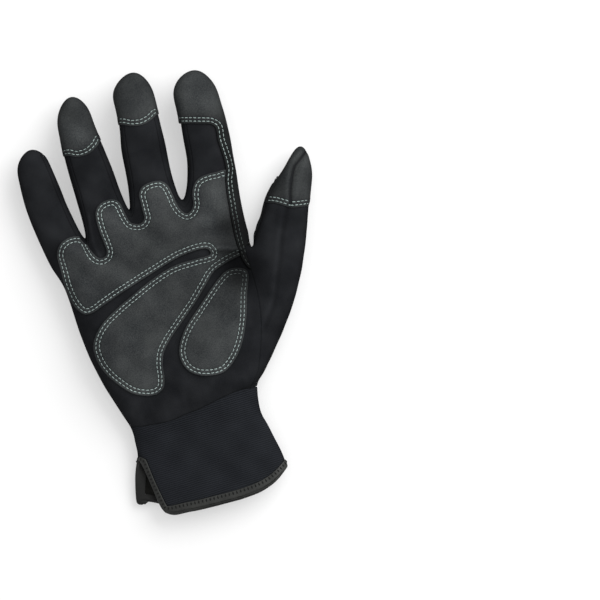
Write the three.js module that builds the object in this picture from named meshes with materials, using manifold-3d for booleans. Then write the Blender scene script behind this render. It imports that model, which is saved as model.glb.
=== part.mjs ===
// A mechanic's glove for the right hand. It lies on its back with the palm up.
// Millimetres: X towards the thumb, Y towards the fingertips, Z up out of the palm.
// The skin of the whole hand is one smooth surface through short tables of
// sections. Each cloth panel is a piece of it, given a wall and parted from its
// neighbours by the seam gap, and the sewn pads lie on top.
import * as THREE from "three";
import Module from "manifold-3d";
import { mergeVertices } from "three/addons/utils/BufferGeometryUtils.js";

const wasm = await Module();
wasm.setup();

// Driving dimensions
const palmWidth = 107;
const palmLength = 115;
const palmDepth = 24;
const cuffWidth = 78;
const cuffLength = 56;
const cuffDepth = 14.5;
const fingerDepth = 16;
const fingerLift = 2.7;
const fingerCurl = 3;
const thumbLength = 86;
const thumbDepth = 18;
const clothWall = 1.5;
const seamGap = 0.4;
const bindingGap = 1;
const padThickness = 1.4;
const capThickness = 1;
const padClearance = 0.3;
const bindingWidth = 4.8;
const bindingProud = 0.4;
const crotchDip = 4.5;
const backCrotchDip = 5.2;
const gatherDepth = 1.1;
const labelLength = 46;
const labelHeight = 23;
const labelThickness = 0.9;

// Section shapes: where the eight points of a finger's ring lie, and how square
// the palm's sections are.
const ringShoulder = 0.76;
const palmSquareness = 2.8;
const sideHeight = 0.46;

// Heights of the knuckle line in shares of the palm's depth: over and under the
// fingers' roots, and at the webs between them on the palm side and the back.
const knuckleTop = 0.86;
const knuckleBottom = 0.1;
const webHeight = 0.7;
const backWebHeight = 0.2;
// The outer columns of the line stand in by this share of the finger's width, and
// the palm side's edge at the slit stands at this share of the cuff's height.
const sideInset = 0.15;
const slitEdgeHeight = 0.72;

// Each finger grows from a root on the knuckle line, in shares of the palm, and
// leans in degrees towards the little finger. Its rings are shares of its length,
// width and depth, and drift sideways by a share of the width.
const fingers = [
  {
    name: "little", rootU: -0.449, rootV: 0.913, lean: 5.9, length: 56.6, width: 21.5, depth: 0.94,
    rings: [
      { along: 0.25, width: 1.06, depth: 1.0, drift: -0.08 },
      { along: 0.5, width: 1.02, depth: 0.98, drift: -0.1 },
      { along: 0.75, width: 0.92, depth: 0.92, drift: -0.08 },
      { along: 0.91, width: 0.7, depth: 0.72, drift: -0.045 },
    ],
  },
  {
    name: "ring", rootU: -0.201, rootV: 0.961, lean: 2.5, length: 73.4, width: 23.6, depth: 1.0,
    rings: [
      { along: 0.25, width: 1.05, depth: 1.0, drift: -0.025 },
      { along: 0.49, width: 1.0, depth: 0.98, drift: -0.05 },
      { along: 0.73, width: 0.84, depth: 0.88, drift: -0.07 },
      { along: 0.9, width: 0.66, depth: 0.68, drift: -0.04 },
    ],
  },
  {
    name: "middle", rootU: 0.067, rootV: 0.994, lean: -3.6, length: 74.6, width: 24.5, depth: 1.03,
    rings: [
      { along: 0.22, width: 1.03, depth: 1.0, drift: -0.033 },
      { along: 0.48, width: 1.0, depth: 0.98, drift: -0.04 },
      { along: 0.735, width: 0.89, depth: 0.88, drift: -0.035 },
      { along: 0.9, width: 0.77, depth: 0.7, drift: -0.06 },
    ],
  },
  {
    name: "index", rootU: 0.36, rootV: 0.968, lean: -5.4, length: 70.2, width: 26, depth: 1.03,
    rings: [
      { along: 0.225, width: 0.98, depth: 1.0, drift: 0.06 },
      { along: 0.475, width: 0.95, depth: 0.98, drift: 0.06 },
      { along: 0.725, width: 0.88, depth: 0.88, drift: 0.02 },
      { along: 0.9, width: 0.73, depth: 0.7, drift: -0.025 },
    ],
  },
];

// Crotches between the fingers and the two ends of the knuckle line.
const crotches = [
  { u: -0.332, v: 0.923 },
  { u: -0.073, v: 1.006 },
  { u: 0.208, v: 0.989 },
];
const knuckleEnds = { left: { u: -0.564, v: 0.917 }, right: { u: 0.496, v: 0.957 } };

// Rows of the palm from the knuckles down to the wrist seam, in shares of the
// palm's width, length and depth. The spread goes from the knuckles' column
// places, 0, to the cuff's, 1.
const palmRows = [
  {
    left: { u: -0.54, v: 0.817 }, right: { u: 0.488, v: 0.826 }, bow: 0,
    top: 0.93, bottom: 0, spread: 0.1, gather: 0,
  },
  {
    left: { u: -0.498, v: 0.678 }, right: { u: 0.5, v: 0.687 }, bow: 0,
    top: 0.97, bottom: -0.03, spread: 0.2, gather: 0,
  },
  {
    left: { u: -0.475, v: 0.426 }, right: { u: 0.51, v: 0.4 }, bow: 0,
    top: 1, bottom: -0.03, spread: 0.35, gather: 0,
  },
  {
    left: { u: -0.41, v: 0.157 }, right: { u: 0.42, v: 0.095 }, bow: 0,
    top: 0.92, bottom: -0.02, spread: 0.5, gather: 0.35,
  },
  {
    left: { u: -0.345, v: -0.02 }, right: { u: 0.353, v: 0.02 }, bow: -0.015,
    top: 0.74, bottom: 0.05, spread: 0.7, gather: 1,
  },
];

// Rows of the cuff below the seam, in shares of the cuff's width, length and
// depth. From the slit down, the palm side and the back have their own left end.
const cuffRows = [
  { left: { u: -0.465, v: -0.21 }, right: { u: 0.465, v: -0.2 }, top: 1, bottom: 0.22, gather: 1 },
  { left: { u: -0.477, v: -0.4 }, right: { u: 0.498, v: -0.4 }, top: 1, bottom: 0.22, gather: 0.2 },
  {
    left: { u: -0.412, v: -0.83 }, backLeft: { u: -0.552, v: -0.735 }, right: { u: 0.548, v: -0.735 },
    top: 1.07, bottom: 0.15, gather: 0, hem: bindingWidth,
  },
  {
    left: { u: -0.366, v: -0.945 }, backLeft: { u: -0.528, v: -0.79 }, right: { u: 0.545, v: -0.815 },
    top: 1.05, bottom: 0.13, gather: 0, hem: 0,
  },
];
const slitRow = palmRows.length + 2;

// The hem's line: how far down each side reaches and how it rises to its ends.
const hemLines = {
  palm: { drop: 1.005, leftRise: 0.03, rightRise: 0.19, leftPower: 8, rightPower: 7 },
  back: { drop: 0.96, leftRise: 0.19, rightRise: 0.145, leftPower: 5, rightPower: 6 },
};

// Places of the palm side's columns across the hand, from the little finger's
// side to the thumb's side. The back has the same places.
const knuckleShares = [0, 0.035, 0.125, 0.235, 0.35, 0.468, 0.59, 0.72, 0.855, 0.965, 1];
const cuffShares = [0, 0.06, 0.155, 0.265, 0.38, 0.5, 0.62, 0.735, 0.84, 0.94, 1];

// The thumb's rings: centre and half width in shares of the thumb's length from
// the crotch of the thumb, turned in degrees, and depths in shares of its depth.
const thumbCrotch = { u: 0.5, v: 0.687 };
const thumbRings = [
  { x: 0.08, y: -0.225, half: 0.275, turn: -80, bottom: 0.14, top: 1.08 },
  { x: 0.182, y: -0.056, half: 0.22, turn: -68, bottom: 0.14, top: 1.05 },
  { x: 0.266, y: 0.122, half: 0.176, turn: -57, bottom: 0.15, top: 1.02 },
  { x: 0.352, y: 0.295, half: 0.119, turn: -41, bottom: 0.2, top: 0.94 },
  { x: 0.423, y: 0.424, half: 0.078, turn: -27, bottom: 0.28, top: 0.84 },
];
const thumbTip = { x: 0.468, y: 0.545, height: 0.57 };

// Swells and hollows of the palm, in shares of the palm, rise in shares of depth.
const palmSwells = [
  { u: 0.16, v: 0.32, spread: 0.2, rise: 0.09 },
  { u: -0.28, v: 0.33, spread: 0.19, rise: 0.06 },
  { u: -0.03, v: 0.55, spread: 0.16, rise: -0.08 },
  { u: -0.05, v: 0.83, spread: 0.2, rise: 0.05 },
];

// Outlines of what is sewn on, as corners with a rounding radius. The pads'
// corners are shares of the palm, rounded in shares of its width.
const palmPadOutline = [
  { u: -0.436, v: 0.565, r: 0.05 }, { u: -0.225, v: 0.625, r: 0.1 }, { u: -0.03, v: 0.688, r: 0.1 },
  { u: 0.12, v: 0.736, r: 0.1 }, { u: 0.255, v: 0.745, r: 0.04 }, { u: 0.31, v: 0.7, r: 0.02 },
  { u: 0.28, v: 0.667, r: 0.015 }, { u: 0.14, v: 0.678, r: 0.08 }, { u: -0.03, v: 0.645, r: 0.1 },
  { u: -0.24, v: 0.565, r: 0.1 }, { u: -0.385, v: 0.467, r: 0.08 }, { u: -0.442, v: 0.37, r: 0.06 },
  { u: -0.403, v: 0.23, r: 0.08 }, { u: -0.26, v: 0.112, r: 0.08 }, { u: -0.135, v: 0.1, r: 0.05 },
  { u: -0.115, v: 0.24, r: 0.06 }, { u: -0.075, v: 0.335, r: 0.05 }, { u: 0.08, v: 0.462, r: 0.1 },
  { u: 0.26, v: 0.625, r: 0.08 }, { u: 0.43, v: 0.66, r: 0.02 }, { u: 0.43, v: 1.05, r: 0.02 },
  { u: 0.32, v: 1.075, r: 0.05 }, { u: 0.262, v: 0.935, r: 0.05 }, { u: 0.205, v: 0.885, r: 0.05 },
  { u: 0.155, v: 0.955, r: 0.04 }, { u: 0.14, v: 1.1, r: 0.05 }, { u: 0.003, v: 1.105, r: 0.05 },
  { u: -0.002, v: 0.935, r: 0.05 }, { u: -0.105, v: 0.9, r: 0.06 }, { u: -0.127, v: 1.067, r: 0.04 },
  { u: -0.243, v: 1.067, r: 0.05 }, { u: -0.237, v: 0.85, r: 0.04 }, { u: -0.25, v: 0.79, r: 0.03 },
  { u: -0.32, v: 0.79, r: 0.04 }, { u: -0.345, v: 0.93, r: 0.03 }, { u: -0.48, v: 0.935, r: 0.05 },
  { u: -0.485, v: 0.568, r: 0.03 },
];
const heelPadOutline = [
  { u: 0.376, v: 0.604, r: 0.03 }, { u: 0.445, v: 0.58, r: 0.02 }, { u: 0.41, v: 0.46, r: 0.08 },
  { u: 0.34, v: 0.23, r: 0.12 }, { u: 0.25, v: 0.12, r: 0.1 }, { u: 0.03, v: 0.135, r: 0.1 },
  { u: -0.02, v: 0.27, r: 0.08 }, { u: 0.06, v: 0.41, r: 0.08 }, { u: 0.25, v: 0.54, r: 0.08 },
  { u: 0.335, v: 0.598, r: 0.04 },
];

// Outlines round the fingers, in shares of the palm: the first list is cut on the
// palm side, the second on the back.
const ringTipOutline = {
  palm: [
    { u: -0.42, v: 1.36, r: 0.01 }, { u: -0.24, v: 1.325, r: 0.1 }, { u: -0.06, v: 1.39, r: 0.01 },
    { u: -0.06, v: 1.8, r: 0.01 }, { u: -0.42, v: 1.8, r: 0.01 },
  ],
  back: [
    { u: -0.42, v: 1.43, r: 0.01 }, { u: -0.34, v: 1.45, r: 0.04 }, { u: -0.24, v: 1.475, r: 0.06 },
    { u: -0.06, v: 1.45, r: 0.01 }, { u: -0.06, v: 1.8, r: 0.01 }, { u: -0.42, v: 1.8, r: 0.01 },
  ],
};
const middleTipOutline = {
  palm: [
    { u: -0.08, v: 1.455, r: 0.01 }, { u: 0.09, v: 1.38, r: 0.12 }, { u: 0.26, v: 1.46, r: 0.01 },
    { u: 0.26, v: 1.8, r: 0.01 }, { u: -0.08, v: 1.8, r: 0.01 },
  ],
  back: [
    { u: -0.08, v: 1.5, r: 0.01 }, { u: 0.09, v: 1.58, r: 0.1 }, { u: 0.26, v: 1.5, r: 0.01 },
    { u: 0.26, v: 1.8, r: 0.01 }, { u: -0.08, v: 1.8, r: 0.01 },
  ],
};
const indexGuardOutline = {
  palm: [
    { u: 0.25, v: 1.37, r: 0.01 }, { u: 0.44, v: 1.335, r: 0.04 }, { u: 0.487, v: 1.275, r: 0.04 },
    { u: 0.463, v: 1.2, r: 0.02 }, { u: 0.488, v: 1.12, r: 0.02 }, { u: 0.455, v: 1.01, r: 0.04 },
    { u: 0.437, v: 0.8, r: 0.05 }, { u: 0.437, v: 0.66, r: 0.03 }, { u: 0.46, v: 0.62, r: 0.01 },
    { u: 0.485, v: 0.74, r: 0.01 }, { u: 0.56, v: 0.74, r: 0.01 }, { u: 0.62, v: 1.8, r: 0.01 },
    { u: 0.25, v: 1.8, r: 0.01 },
  ],
  back: [
    { u: 0.25, v: 1.425, r: 0.01 }, { u: 0.38, v: 1.43, r: 0.06 }, { u: 0.497, v: 1.36, r: 0.07 },
    { u: 0.487, v: 1.2, r: 0.05 }, { u: 0.41, v: 1.165, r: 0.05 }, { u: 0.25, v: 1.14, r: 0.01 },
    { u: 0.25, v: 1.052, r: 0.01 }, { u: 0.4, v: 1.02, r: 0.06 }, { u: 0.455, v: 0.9, r: 0.06 },
    { u: 0.46, v: 0.74, r: 0.05 }, { u: 0.56, v: 0.74, r: 0.01 }, { u: 0.62, v: 1.8, r: 0.01 },
    { u: 0.25, v: 1.8, r: 0.01 },
  ],
};

// Outlines on the thumb, in shares of the thumb's length from its crotch.
const thumbTipOutline = {
  palm: [
    { u: 0.13, v: 0.28, r: 0.01 }, { u: 0.28, v: 0.21, r: 0.06 }, { u: 0.5, v: 0.19, r: 0.01 },
    { u: 0.6, v: 0.7, r: 0.01 }, { u: 0.3, v: 0.7, r: 0.01 },
  ],
  back: [
    { u: 0.18, v: 0.46, r: 0.01 }, { u: 0.32, v: 0.36, r: 0.05 }, { u: 0.42, v: 0.26, r: 0.01 },
    { u: 0.6, v: 0.25, r: 0.01 }, { u: 0.6, v: 0.7, r: 0.01 }, { u: 0.3, v: 0.7, r: 0.01 },
  ],
};
const crotchPatchOutline = [
  { u: 0.29, v: 0.35, r: 0.03 }, { u: 0.33, v: 0.25, r: 0.06 }, { u: 0.26, v: 0.02, r: 0.1 },
  { u: 0.1, v: -0.14, r: 0.08 }, { u: 0.02, v: -0.15, r: 0.02 }, { u: 0.03, v: -0.04, r: 0.03 },
  { u: 0.085, v: 0.13, r: 0.06 }, { u: 0.16, v: 0.3, r: 0.04 }, { u: 0.24, v: 0.4, r: 0.03 },
];

// The label's centre on the back of the cuff, and its slant in degrees.
const labelPlace = { u: -0.103, v: -0.43, slant: 2.5 };

const colours = {
  suede: { color: 0x1c1d20, roughness: 0.9 },
  knit: { color: 0x15191d, roughness: 0.95 },
  pad: { color: 0x3c3f40, roughness: 0.85 },
  binding: { color: 0x282a25, roughness: 0.55 },
  side: { color: 0x18191a, roughness: 0.7 },
  label: { color: 0x4a4b4d, roughness: 0.6 },
};

const degrees = Math.PI / 180;
const columnCount = 20;
const thumbColumn = columnCount / 2;
const holeTop = 2;
const holeBottom = 4;
const groundHeight = 0;

const cage = { points: [], faces: [] };

function addPoint(x, y, z) {
  cage.points.push(new THREE.Vector3(x, y, z));
  return cage.points.length - 1;
}

function addFace(panel, corners) {
  cage.faces.push({ panel, corners });
}

function palmPlace(place) {
  return new THREE.Vector2(place.u * palmWidth, place.v * palmLength);
}

function cuffPlace(place) {
  return new THREE.Vector2(place.u * cuffWidth, place.v * cuffLength);
}

function thumbPlace(place) {
  const crotch = palmPlace(thumbCrotch);
  return new THREE.Vector2(crotch.x + place.u * thumbLength, crotch.y + place.v * thumbLength);
}

function lerp(from, to, share) {
  return from + (to - from) * share;
}

// Height of the palm's section at a share of its width: 0 at the sides, 1 inside.
function sectionRise(share) {
  const across = Math.abs(2 * share - 1);
  return (1 - across ** palmSquareness) ** (1 / palmSquareness);
}

function swellAt(x, y) {
  let rise = 0;
  for (const swell of palmSwells) {
    const dx = x - swell.u * palmWidth;
    const dy = y - swell.v * palmLength;
    const reach = swell.spread * palmWidth;
    rise += swell.rise * palmDepth * Math.exp(-(dx * dx + dy * dy) / (reach * reach));
  }
  return rise;
}

function hemHeight(line, share) {
  const rise = line.leftRise * (1 - share) ** line.leftPower + line.rightRise * share ** line.rightPower;
  return -cuffLength * (line.drop - rise);
}

// A column's share across the hand; the back's columns run the other way.
function columnShare(column, spread) {
  const place = column <= thumbColumn ? column : columnCount - column;
  return lerp(knuckleShares[place], cuffShares[place], spread);
}

// Adds one ring of the palm or the cuff and returns its points by column.
function addRow(row) {
  const ring = [];
  for (let column = 0; column < columnCount; column += 1) {
    const onBack = column > thumbColumn;
    const left = onBack ? row.backLeft : row.left;
    const share = columnShare(column, row.spread);
    const x = lerp(left.x, row.right.x, share);
    const edge = onBack ? hemLines.back : hemLines.palm;
    let y = lerp(left.y, row.right.y, share) + row.bow * 4 * share * (1 - share);
    if (row.hem !== undefined && share > 0 && share < 1) {
      y = hemHeight(edge, share) + row.hem;
    }
    const side = lerp(row.bottom, row.top, sideHeight);
    let z = side;
    if (column > 0 && column < thumbColumn) {
      z = lerp(side, row.top, sectionRise(share)) + swellAt(x, y);
    }
    if (onBack) {
      const fold = column % 2 === 0 ? row.gather : -row.gather;
      z = lerp(side, row.bottom, sectionRise(share)) + fold * gatherDepth;
    }
    ring.push(addPoint(x, y, z));
  }
  return ring;
}

function palmRow(row) {
  const left = palmPlace(row.left);
  return {
    left,
    backLeft: left,
    right: palmPlace(row.right),
    bow: row.bow * palmLength,
    top: row.top * palmDepth,
    bottom: row.bottom * palmDepth,
    spread: row.spread,
    gather: row.gather,
  };
}

function cuffRow(row) {
  const left = cuffPlace(row.left);
  return {
    left,
    backLeft: row.backLeft ? cuffPlace(row.backLeft) : left,
    right: cuffPlace(row.right),
    bow: 0,
    top: row.top * cuffDepth,
    bottom: row.bottom * cuffDepth,
    spread: 1,
    gather: row.gather,
    hem: row.hem,
  };
}

// Rings of eight points, from the side towards the little finger over the palm
// side to the other side and back under.
const ringAngles = [180, 135, 90, 45, 0, -45, -90, -135];

function ringPoint(centre, across, half, bottom, top, angle) {
  const shoulder = angle % 90 !== 0;
  const reach = shoulder ? ringShoulder : Math.abs(Math.cos(angle * degrees));
  const lift = shoulder ? ringShoulder : Math.abs(Math.sin(angle * degrees));
  const sideways = Math.sign(Math.round(Math.cos(angle * degrees) * 10)) * reach * half;
  const middle = (bottom + top) / 2;
  const upward = Math.sign(Math.round(Math.sin(angle * degrees) * 10)) * lift * (top - middle);
  return addPoint(centre.x + across.x * sideways, centre.y + across.y * sideways, middle + upward);
}

function addRing(centre, across, half, bottom, top) {
  return ringAngles.map((angle) => ringPoint(centre, across, half, bottom, top, angle));
}

function joinRings(from, to, panelAt) {
  for (let side = 0; side < from.length; side += 1) {
    const next = (side + 1) % from.length;
    addFace(panelAt(side), [from[side], from[next], to[next], to[side]]);
  }
}

function closeTip(ring, tip, palmPanel, backPanel) {
  for (let side = 0; side < ring.length; side += 2) {
    const panel = side < ring.length / 2 ? palmPanel : backPanel;
    addFace(panel, [ring[side], ring[side + 1], ring[(side + 2) % ring.length], tip]);
  }
}

// The knuckle line: the top row of the palm with the fingers' crotches in it.
function addKnuckles() {
  const left = palmPlace(knuckleEnds.left);
  const right = palmPlace(knuckleEnds.right);
  const top = palmDepth * knuckleTop;
  const bottom = palmDepth * knuckleBottom;
  const side = lerp(bottom, top, sideHeight);
  const web = palmDepth * webHeight;
  const backWeb = palmDepth * backWebHeight;
  const places = [{ x: left.x, y: left.y, z: side, back: side }];
  fingers.forEach((finger, index) => {
    const root = palmPlace({ u: finger.rootU, v: finger.rootV });
    if (index === 0) {
      places.push({ x: left.x + sideInset * finger.width, y: root.y, z: web, back: backWeb });
    }
    places.push({ x: root.x, y: root.y, z: top + swellAt(root.x, root.y), back: bottom });
    if (index < crotches.length) {
      const crotch = palmPlace(crotches[index]);
      places.push({ x: crotch.x, y: crotch.y - crotchDip, z: web, back: backWeb, crotch });
    }
    if (index === fingers.length - 1) {
      places.push({ x: right.x - sideInset * finger.width, y: root.y, z: web, back: backWeb });
    }
  });
  places.push({ x: right.x, y: right.y, z: side, back: side });
  const row = places.map((place) => addPoint(place.x, place.y, place.z));
  for (let column = places.length - 2; column > 0; column -= 1) {
    const place = places[column];
    const y = place.crotch ? place.crotch.y - backCrotchDip : place.y;
    row.push(addPoint(place.x, y, place.back));
  }
  const webs = places.filter((place) => place.crotch);
  const webPoints = webs.map((place) => addPoint(place.crotch.x, place.crotch.y, side));
  return { row, webPoints };
}

function fourchetteName(index) {
  return `fourchette_${fingers[index].name}_${fingers[index + 1].name}`;
}

function fingerPanel(index, side) {
  if (side === 0 && index > 0) {
    return fourchetteName(index - 1);
  }
  if (side === 7 && index > 0) {
    return fourchetteName(index - 1);
  }
  if ((side === 3 || side === 4) && index < fingers.length - 1) {
    return fourchetteName(index);
  }
  return side < 4 ? "palm_panel" : "back_panel";
}

function addFinger(index, knuckles) {
  const finger = fingers[index];
  const { row, webPoints } = knuckles;
  const first = 1 + 2 * index;
  const lean = finger.lean * degrees;
  const root = palmPlace({ u: finger.rootU, v: finger.rootV });
  const axis = new THREE.Vector2(-Math.sin(lean), Math.cos(lean));
  const across = new THREE.Vector2(axis.y, -axis.x);
  const leftSide = index === 0 ? row[0] : webPoints[index - 1];
  const rightSide = index === fingers.length - 1 ? row[thumbColumn] : webPoints[index];
  let ring = [leftSide, row[first], row[first + 1], row[first + 2], rightSide];
  for (let step = 2; step >= 0; step -= 1) {
    ring.push(row[columnCount - first - step]);
  }
  const depth = fingerDepth * finger.depth;
  for (const section of finger.rings) {
    const centre = root.clone().addScaledVector(axis, section.along * finger.length);
    centre.addScaledVector(across, section.drift * finger.width);
    const half = (section.width * finger.width) / 2;
    const middle = fingerLift + depth / 2 + fingerCurl * section.along ** 2;
    const reach = (section.depth * depth) / 2;
    const next = addRing(centre, across, half, middle - reach, middle + reach);
    joinRings(ring, next, (side) => fingerPanel(index, side));
    ring = next;
  }
  const end = root.clone().addScaledVector(axis, finger.length);
  const tip = addPoint(end.x, end.y, fingerLift + depth / 2 + fingerCurl);
  closeTip(ring, tip, "palm_panel", "back_panel");
}

function addThumb(rows) {
  const crotch = palmPlace(thumbCrotch);
  const hole = [rows[holeTop][thumbColumn]];
  for (let row = holeTop; row <= holeBottom; row += 1) {
    hole.push(rows[row][thumbColumn - 1]);
  }
  hole.push(rows[holeBottom][thumbColumn]);
  for (let row = holeBottom; row >= holeTop; row -= 1) {
    hole.push(rows[row][thumbColumn + 1]);
  }
  const panelAt = (side) => (side < 4 ? "thumb_panel" : "thumb_back");
  let ring = hole;
  for (const section of thumbRings) {
    const turn = section.turn * degrees;
    const across = new THREE.Vector2(Math.cos(turn), Math.sin(turn));
    const centre = new THREE.Vector2(crotch.x + section.x * thumbLength, crotch.y + section.y * thumbLength);
    const half = section.half * thumbLength;
    const next = addRing(centre, across, half, section.bottom * thumbDepth, section.top * thumbDepth);
    joinRings(ring, next, panelAt);
    ring = next;
  }
  const tip = addPoint(
    crotch.x + thumbTip.x * thumbLength,
    crotch.y + thumbTip.y * thumbLength,
    thumbTip.height * thumbDepth,
  );
  closeTip(ring, tip, "thumb_panel", "thumb_back");
}

function bodyPanel(row, column, lastRow) {
  const seamRow = palmRows.length;
  const onPalm = column < thumbColumn;
  if (row === lastRow - 1) {
    return "cuff_binding";
  }
  if (row >= slitRow && (column === 0 || column === columnCount - 1)) {
    return "cuff_binding";
  }
  if (row >= seamRow) {
    return column <= thumbColumn ? "cuff_panel" : "back_panel";
  }
  if (row === holeBottom && column === thumbColumn - 1) {
    return "thumb_panel";
  }
  if (row === holeBottom && column === thumbColumn) {
    return "thumb_back";
  }
  return onPalm ? "palm_panel" : "back_panel";
}

// The cage of the whole hand: knuckles, palm and cuff rows, fingers and thumb.
function buildCage() {
  const knuckles = addKnuckles();
  const rows = [knuckles.row];
  palmRows.forEach((row) => rows.push(addRow(palmRow(row))));
  cuffRows.forEach((row) => rows.push(addRow(cuffRow(row))));
  // Below the slit's top the back has its own left end, lying near the ground.
  const backEnds = new Map();
  cuffRows.forEach((row, index) => {
    const level = palmRows.length + 1 + index;
    if (row.backLeft) {
      const place = cuffPlace(row.backLeft);
      backEnds.set(level, addPoint(place.x, place.y, row.bottom * cuffDepth + clothWall));
      cage.points[rows[level][0]].z = slitEdgeHeight * row.top * cuffDepth;
    }
  });
  const lastRow = rows.length - 1;
  for (let row = 0; row < lastRow; row += 1) {
    for (let column = 0; column < columnCount; column += 1) {
      const inHole = row >= holeTop && row < holeBottom;
      if (inHole && (column === thumbColumn - 1 || column === thumbColumn)) {
        continue;
      }
      const next = (column + 1) % columnCount;
      const corners = [rows[row][column], rows[row + 1][column], rows[row + 1][next], rows[row][next]];
      if (column === columnCount - 1) {
        corners[2] = backEnds.get(row + 1) ?? corners[2];
        corners[3] = backEnds.get(row) ?? corners[3];
      }
      addFace(bodyPanel(row, column, lastRow), corners);
    }
  }
  fingers.forEach((finger, index) => addFinger(index, knuckles));
  addThumb(rows);
}

// Neighbours of every point: its edges, its faces' far corners and open edges.
function connect(mesh) {
  const links = mesh.points.map(() => ({ edges: new Map(), across: [] }));
  for (const face of mesh.faces) {
    face.corners.forEach((corner, index) => {
      const next = face.corners[(index + 1) % 4];
      const last = face.corners[(index + 3) % 4];
      links[corner].across.push(face.corners[(index + 2) % 4]);
      for (const other of [next, last]) {
        links[corner].edges.set(other, (links[corner].edges.get(other) ?? 0) + 1);
      }
    });
  }
  return links;
}

// Where the smooth surface passes through each point of a cage.
function limitPoints(mesh, links) {
  return mesh.points.map((point, index) => {
    const { edges, across } = links[index];
    if (edges.size === 0) {
      return point.clone();
    }
    const open = [...edges].filter(([, count]) => count === 1).map(([other]) => other);
    const limit = new THREE.Vector3();
    if (open.length === 2) {
      limit.addScaledVector(point, 4);
      open.forEach((other) => limit.add(mesh.points[other]));
      return limit.divideScalar(6);
    }
    const valence = edges.size;
    limit.addScaledVector(point, valence * valence);
    [...edges.keys()].forEach((other) => limit.addScaledVector(mesh.points[other], 4));
    across.forEach((other) => limit.add(mesh.points[other]));
    return limit.divideScalar(valence * (valence + 5));
  });
}

// Moves the cage's points until the smooth surface runs through the table places.
function fitCage(mesh) {
  const fittingSteps = 24;
  const links = connect(mesh);
  const targets = mesh.points.map((point) => point.clone());
  for (let step = 0; step < fittingSteps; step += 1) {
    const limits = limitPoints(mesh, links);
    mesh.points.forEach((point, index) => {
      point.add(targets[index]).sub(limits[index]);
    });
  }
}

// One step of Catmull and Clark's subdivision, keeping each face's panel.
function refine(mesh) {
  const links = connect(mesh);
  const points = [];
  const edgePoints = new Map();
  const edgeKey = (a, b) => (a < b ? `${a}_${b}` : `${b}_${a}`);
  const faceCentres = mesh.faces.map((face) => {
    const centre = new THREE.Vector3();
    face.corners.forEach((corner) => centre.add(mesh.points[corner]));
    return centre.divideScalar(4);
  });
  const edgeFaces = new Map();
  const pointFaces = mesh.points.map(() => []);
  mesh.faces.forEach((face, index) => {
    face.corners.forEach((corner, place) => {
      const key = edgeKey(corner, face.corners[(place + 1) % 4]);
      edgeFaces.set(key, [...(edgeFaces.get(key) ?? []), index]);
      pointFaces[corner].push(index);
    });
  });
  mesh.points.forEach((point, index) => {
    const { edges } = links[index];
    const open = [...edges].filter(([, count]) => count === 1).map(([other]) => other);
    const moved = new THREE.Vector3();
    if (open.length === 2) {
      moved.addScaledVector(point, 6);
      open.forEach((other) => moved.add(mesh.points[other]));
      moved.divideScalar(8);
    } else {
      const valence = Math.max(edges.size, 1);
      [...edges.keys()].forEach((other) => moved.add(mesh.points[other]));
      pointFaces[index].forEach((face) => moved.add(faceCentres[face]));
      moved.divideScalar(valence * valence);
      moved.addScaledVector(point, (valence - 2) / valence);
    }
    points.push(moved);
  });
  for (const [key, faces] of edgeFaces) {
    const [a, b] = key.split("_").map(Number);
    const middle = mesh.points[a].clone().add(mesh.points[b]);
    if (faces.length === 2) {
      faces.forEach((face) => middle.add(faceCentres[face]));
      middle.divideScalar(4);
    } else {
      middle.divideScalar(2);
    }
    edgePoints.set(key, points.push(middle) - 1);
  }
  const faces = [];
  mesh.faces.forEach((face, index) => {
    const centre = points.push(faceCentres[index]) - 1;
    face.corners.forEach((corner, place) => {
      const next = edgePoints.get(edgeKey(corner, face.corners[(place + 1) % 4]));
      const last = edgePoints.get(edgeKey(corner, face.corners[(place + 3) % 4]));
      faces.push({ panel: face.panel, corners: [corner, next, centre, last] });
    });
  });
  return { points, faces };
}

function pointNormals(mesh) {
  const normals = mesh.points.map(() => new THREE.Vector3());
  for (const face of mesh.faces) {
    const [a, b, c, d] = face.corners.map((corner) => mesh.points[corner]);
    const normal = c.clone().sub(a).cross(d.clone().sub(b));
    face.corners.forEach((corner) => normals[corner].add(normal));
  }
  normals.forEach((normal) => normal.normalize());
  return normals;
}

buildCage();
fitCage(cage);
const skin = refine(cage);
skin.points = limitPoints(skin, connect(skin));
// What lies on the ground is pressed flat there.
skin.points.forEach((point) => (point.z = Math.max(point.z, groundHeight)));
const skinNormals = pointNormals(skin);

// Faces round a point, grouped into fans that share edges.
function fansRound(corner, faces) {
  const fans = [];
  for (const face of faces) {
    const touching = fans.filter((fan) => fan.some((other) => sharedEdge(face, other, corner)));
    const merged = [face, ...touching.flat()];
    touching.forEach((fan) => fans.splice(fans.indexOf(fan), 1));
    fans.push(merged);
  }
  return fans;
}

function sharedEdge(face, other, corner) {
  return face.corners.some((point) => point !== corner && neighbours(face, corner, point)
    && neighbours(other, corner, point));
}

function neighbours(face, a, b) {
  const apart = Math.abs(face.corners.indexOf(a) - face.corners.indexOf(b));
  return face.corners.includes(a) && face.corners.includes(b) && apart % 2 === 1;
}

function faceCentre(face) {
  const centre = new THREE.Vector3();
  face.corners.forEach((corner) => centre.add(skin.points[corner]));
  return centre.divideScalar(4);
}

const facesRound = skin.points.map(() => []);
skin.faces.forEach((face) => face.corners.forEach((corner) => facesRound[corner].push(face)));

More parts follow.
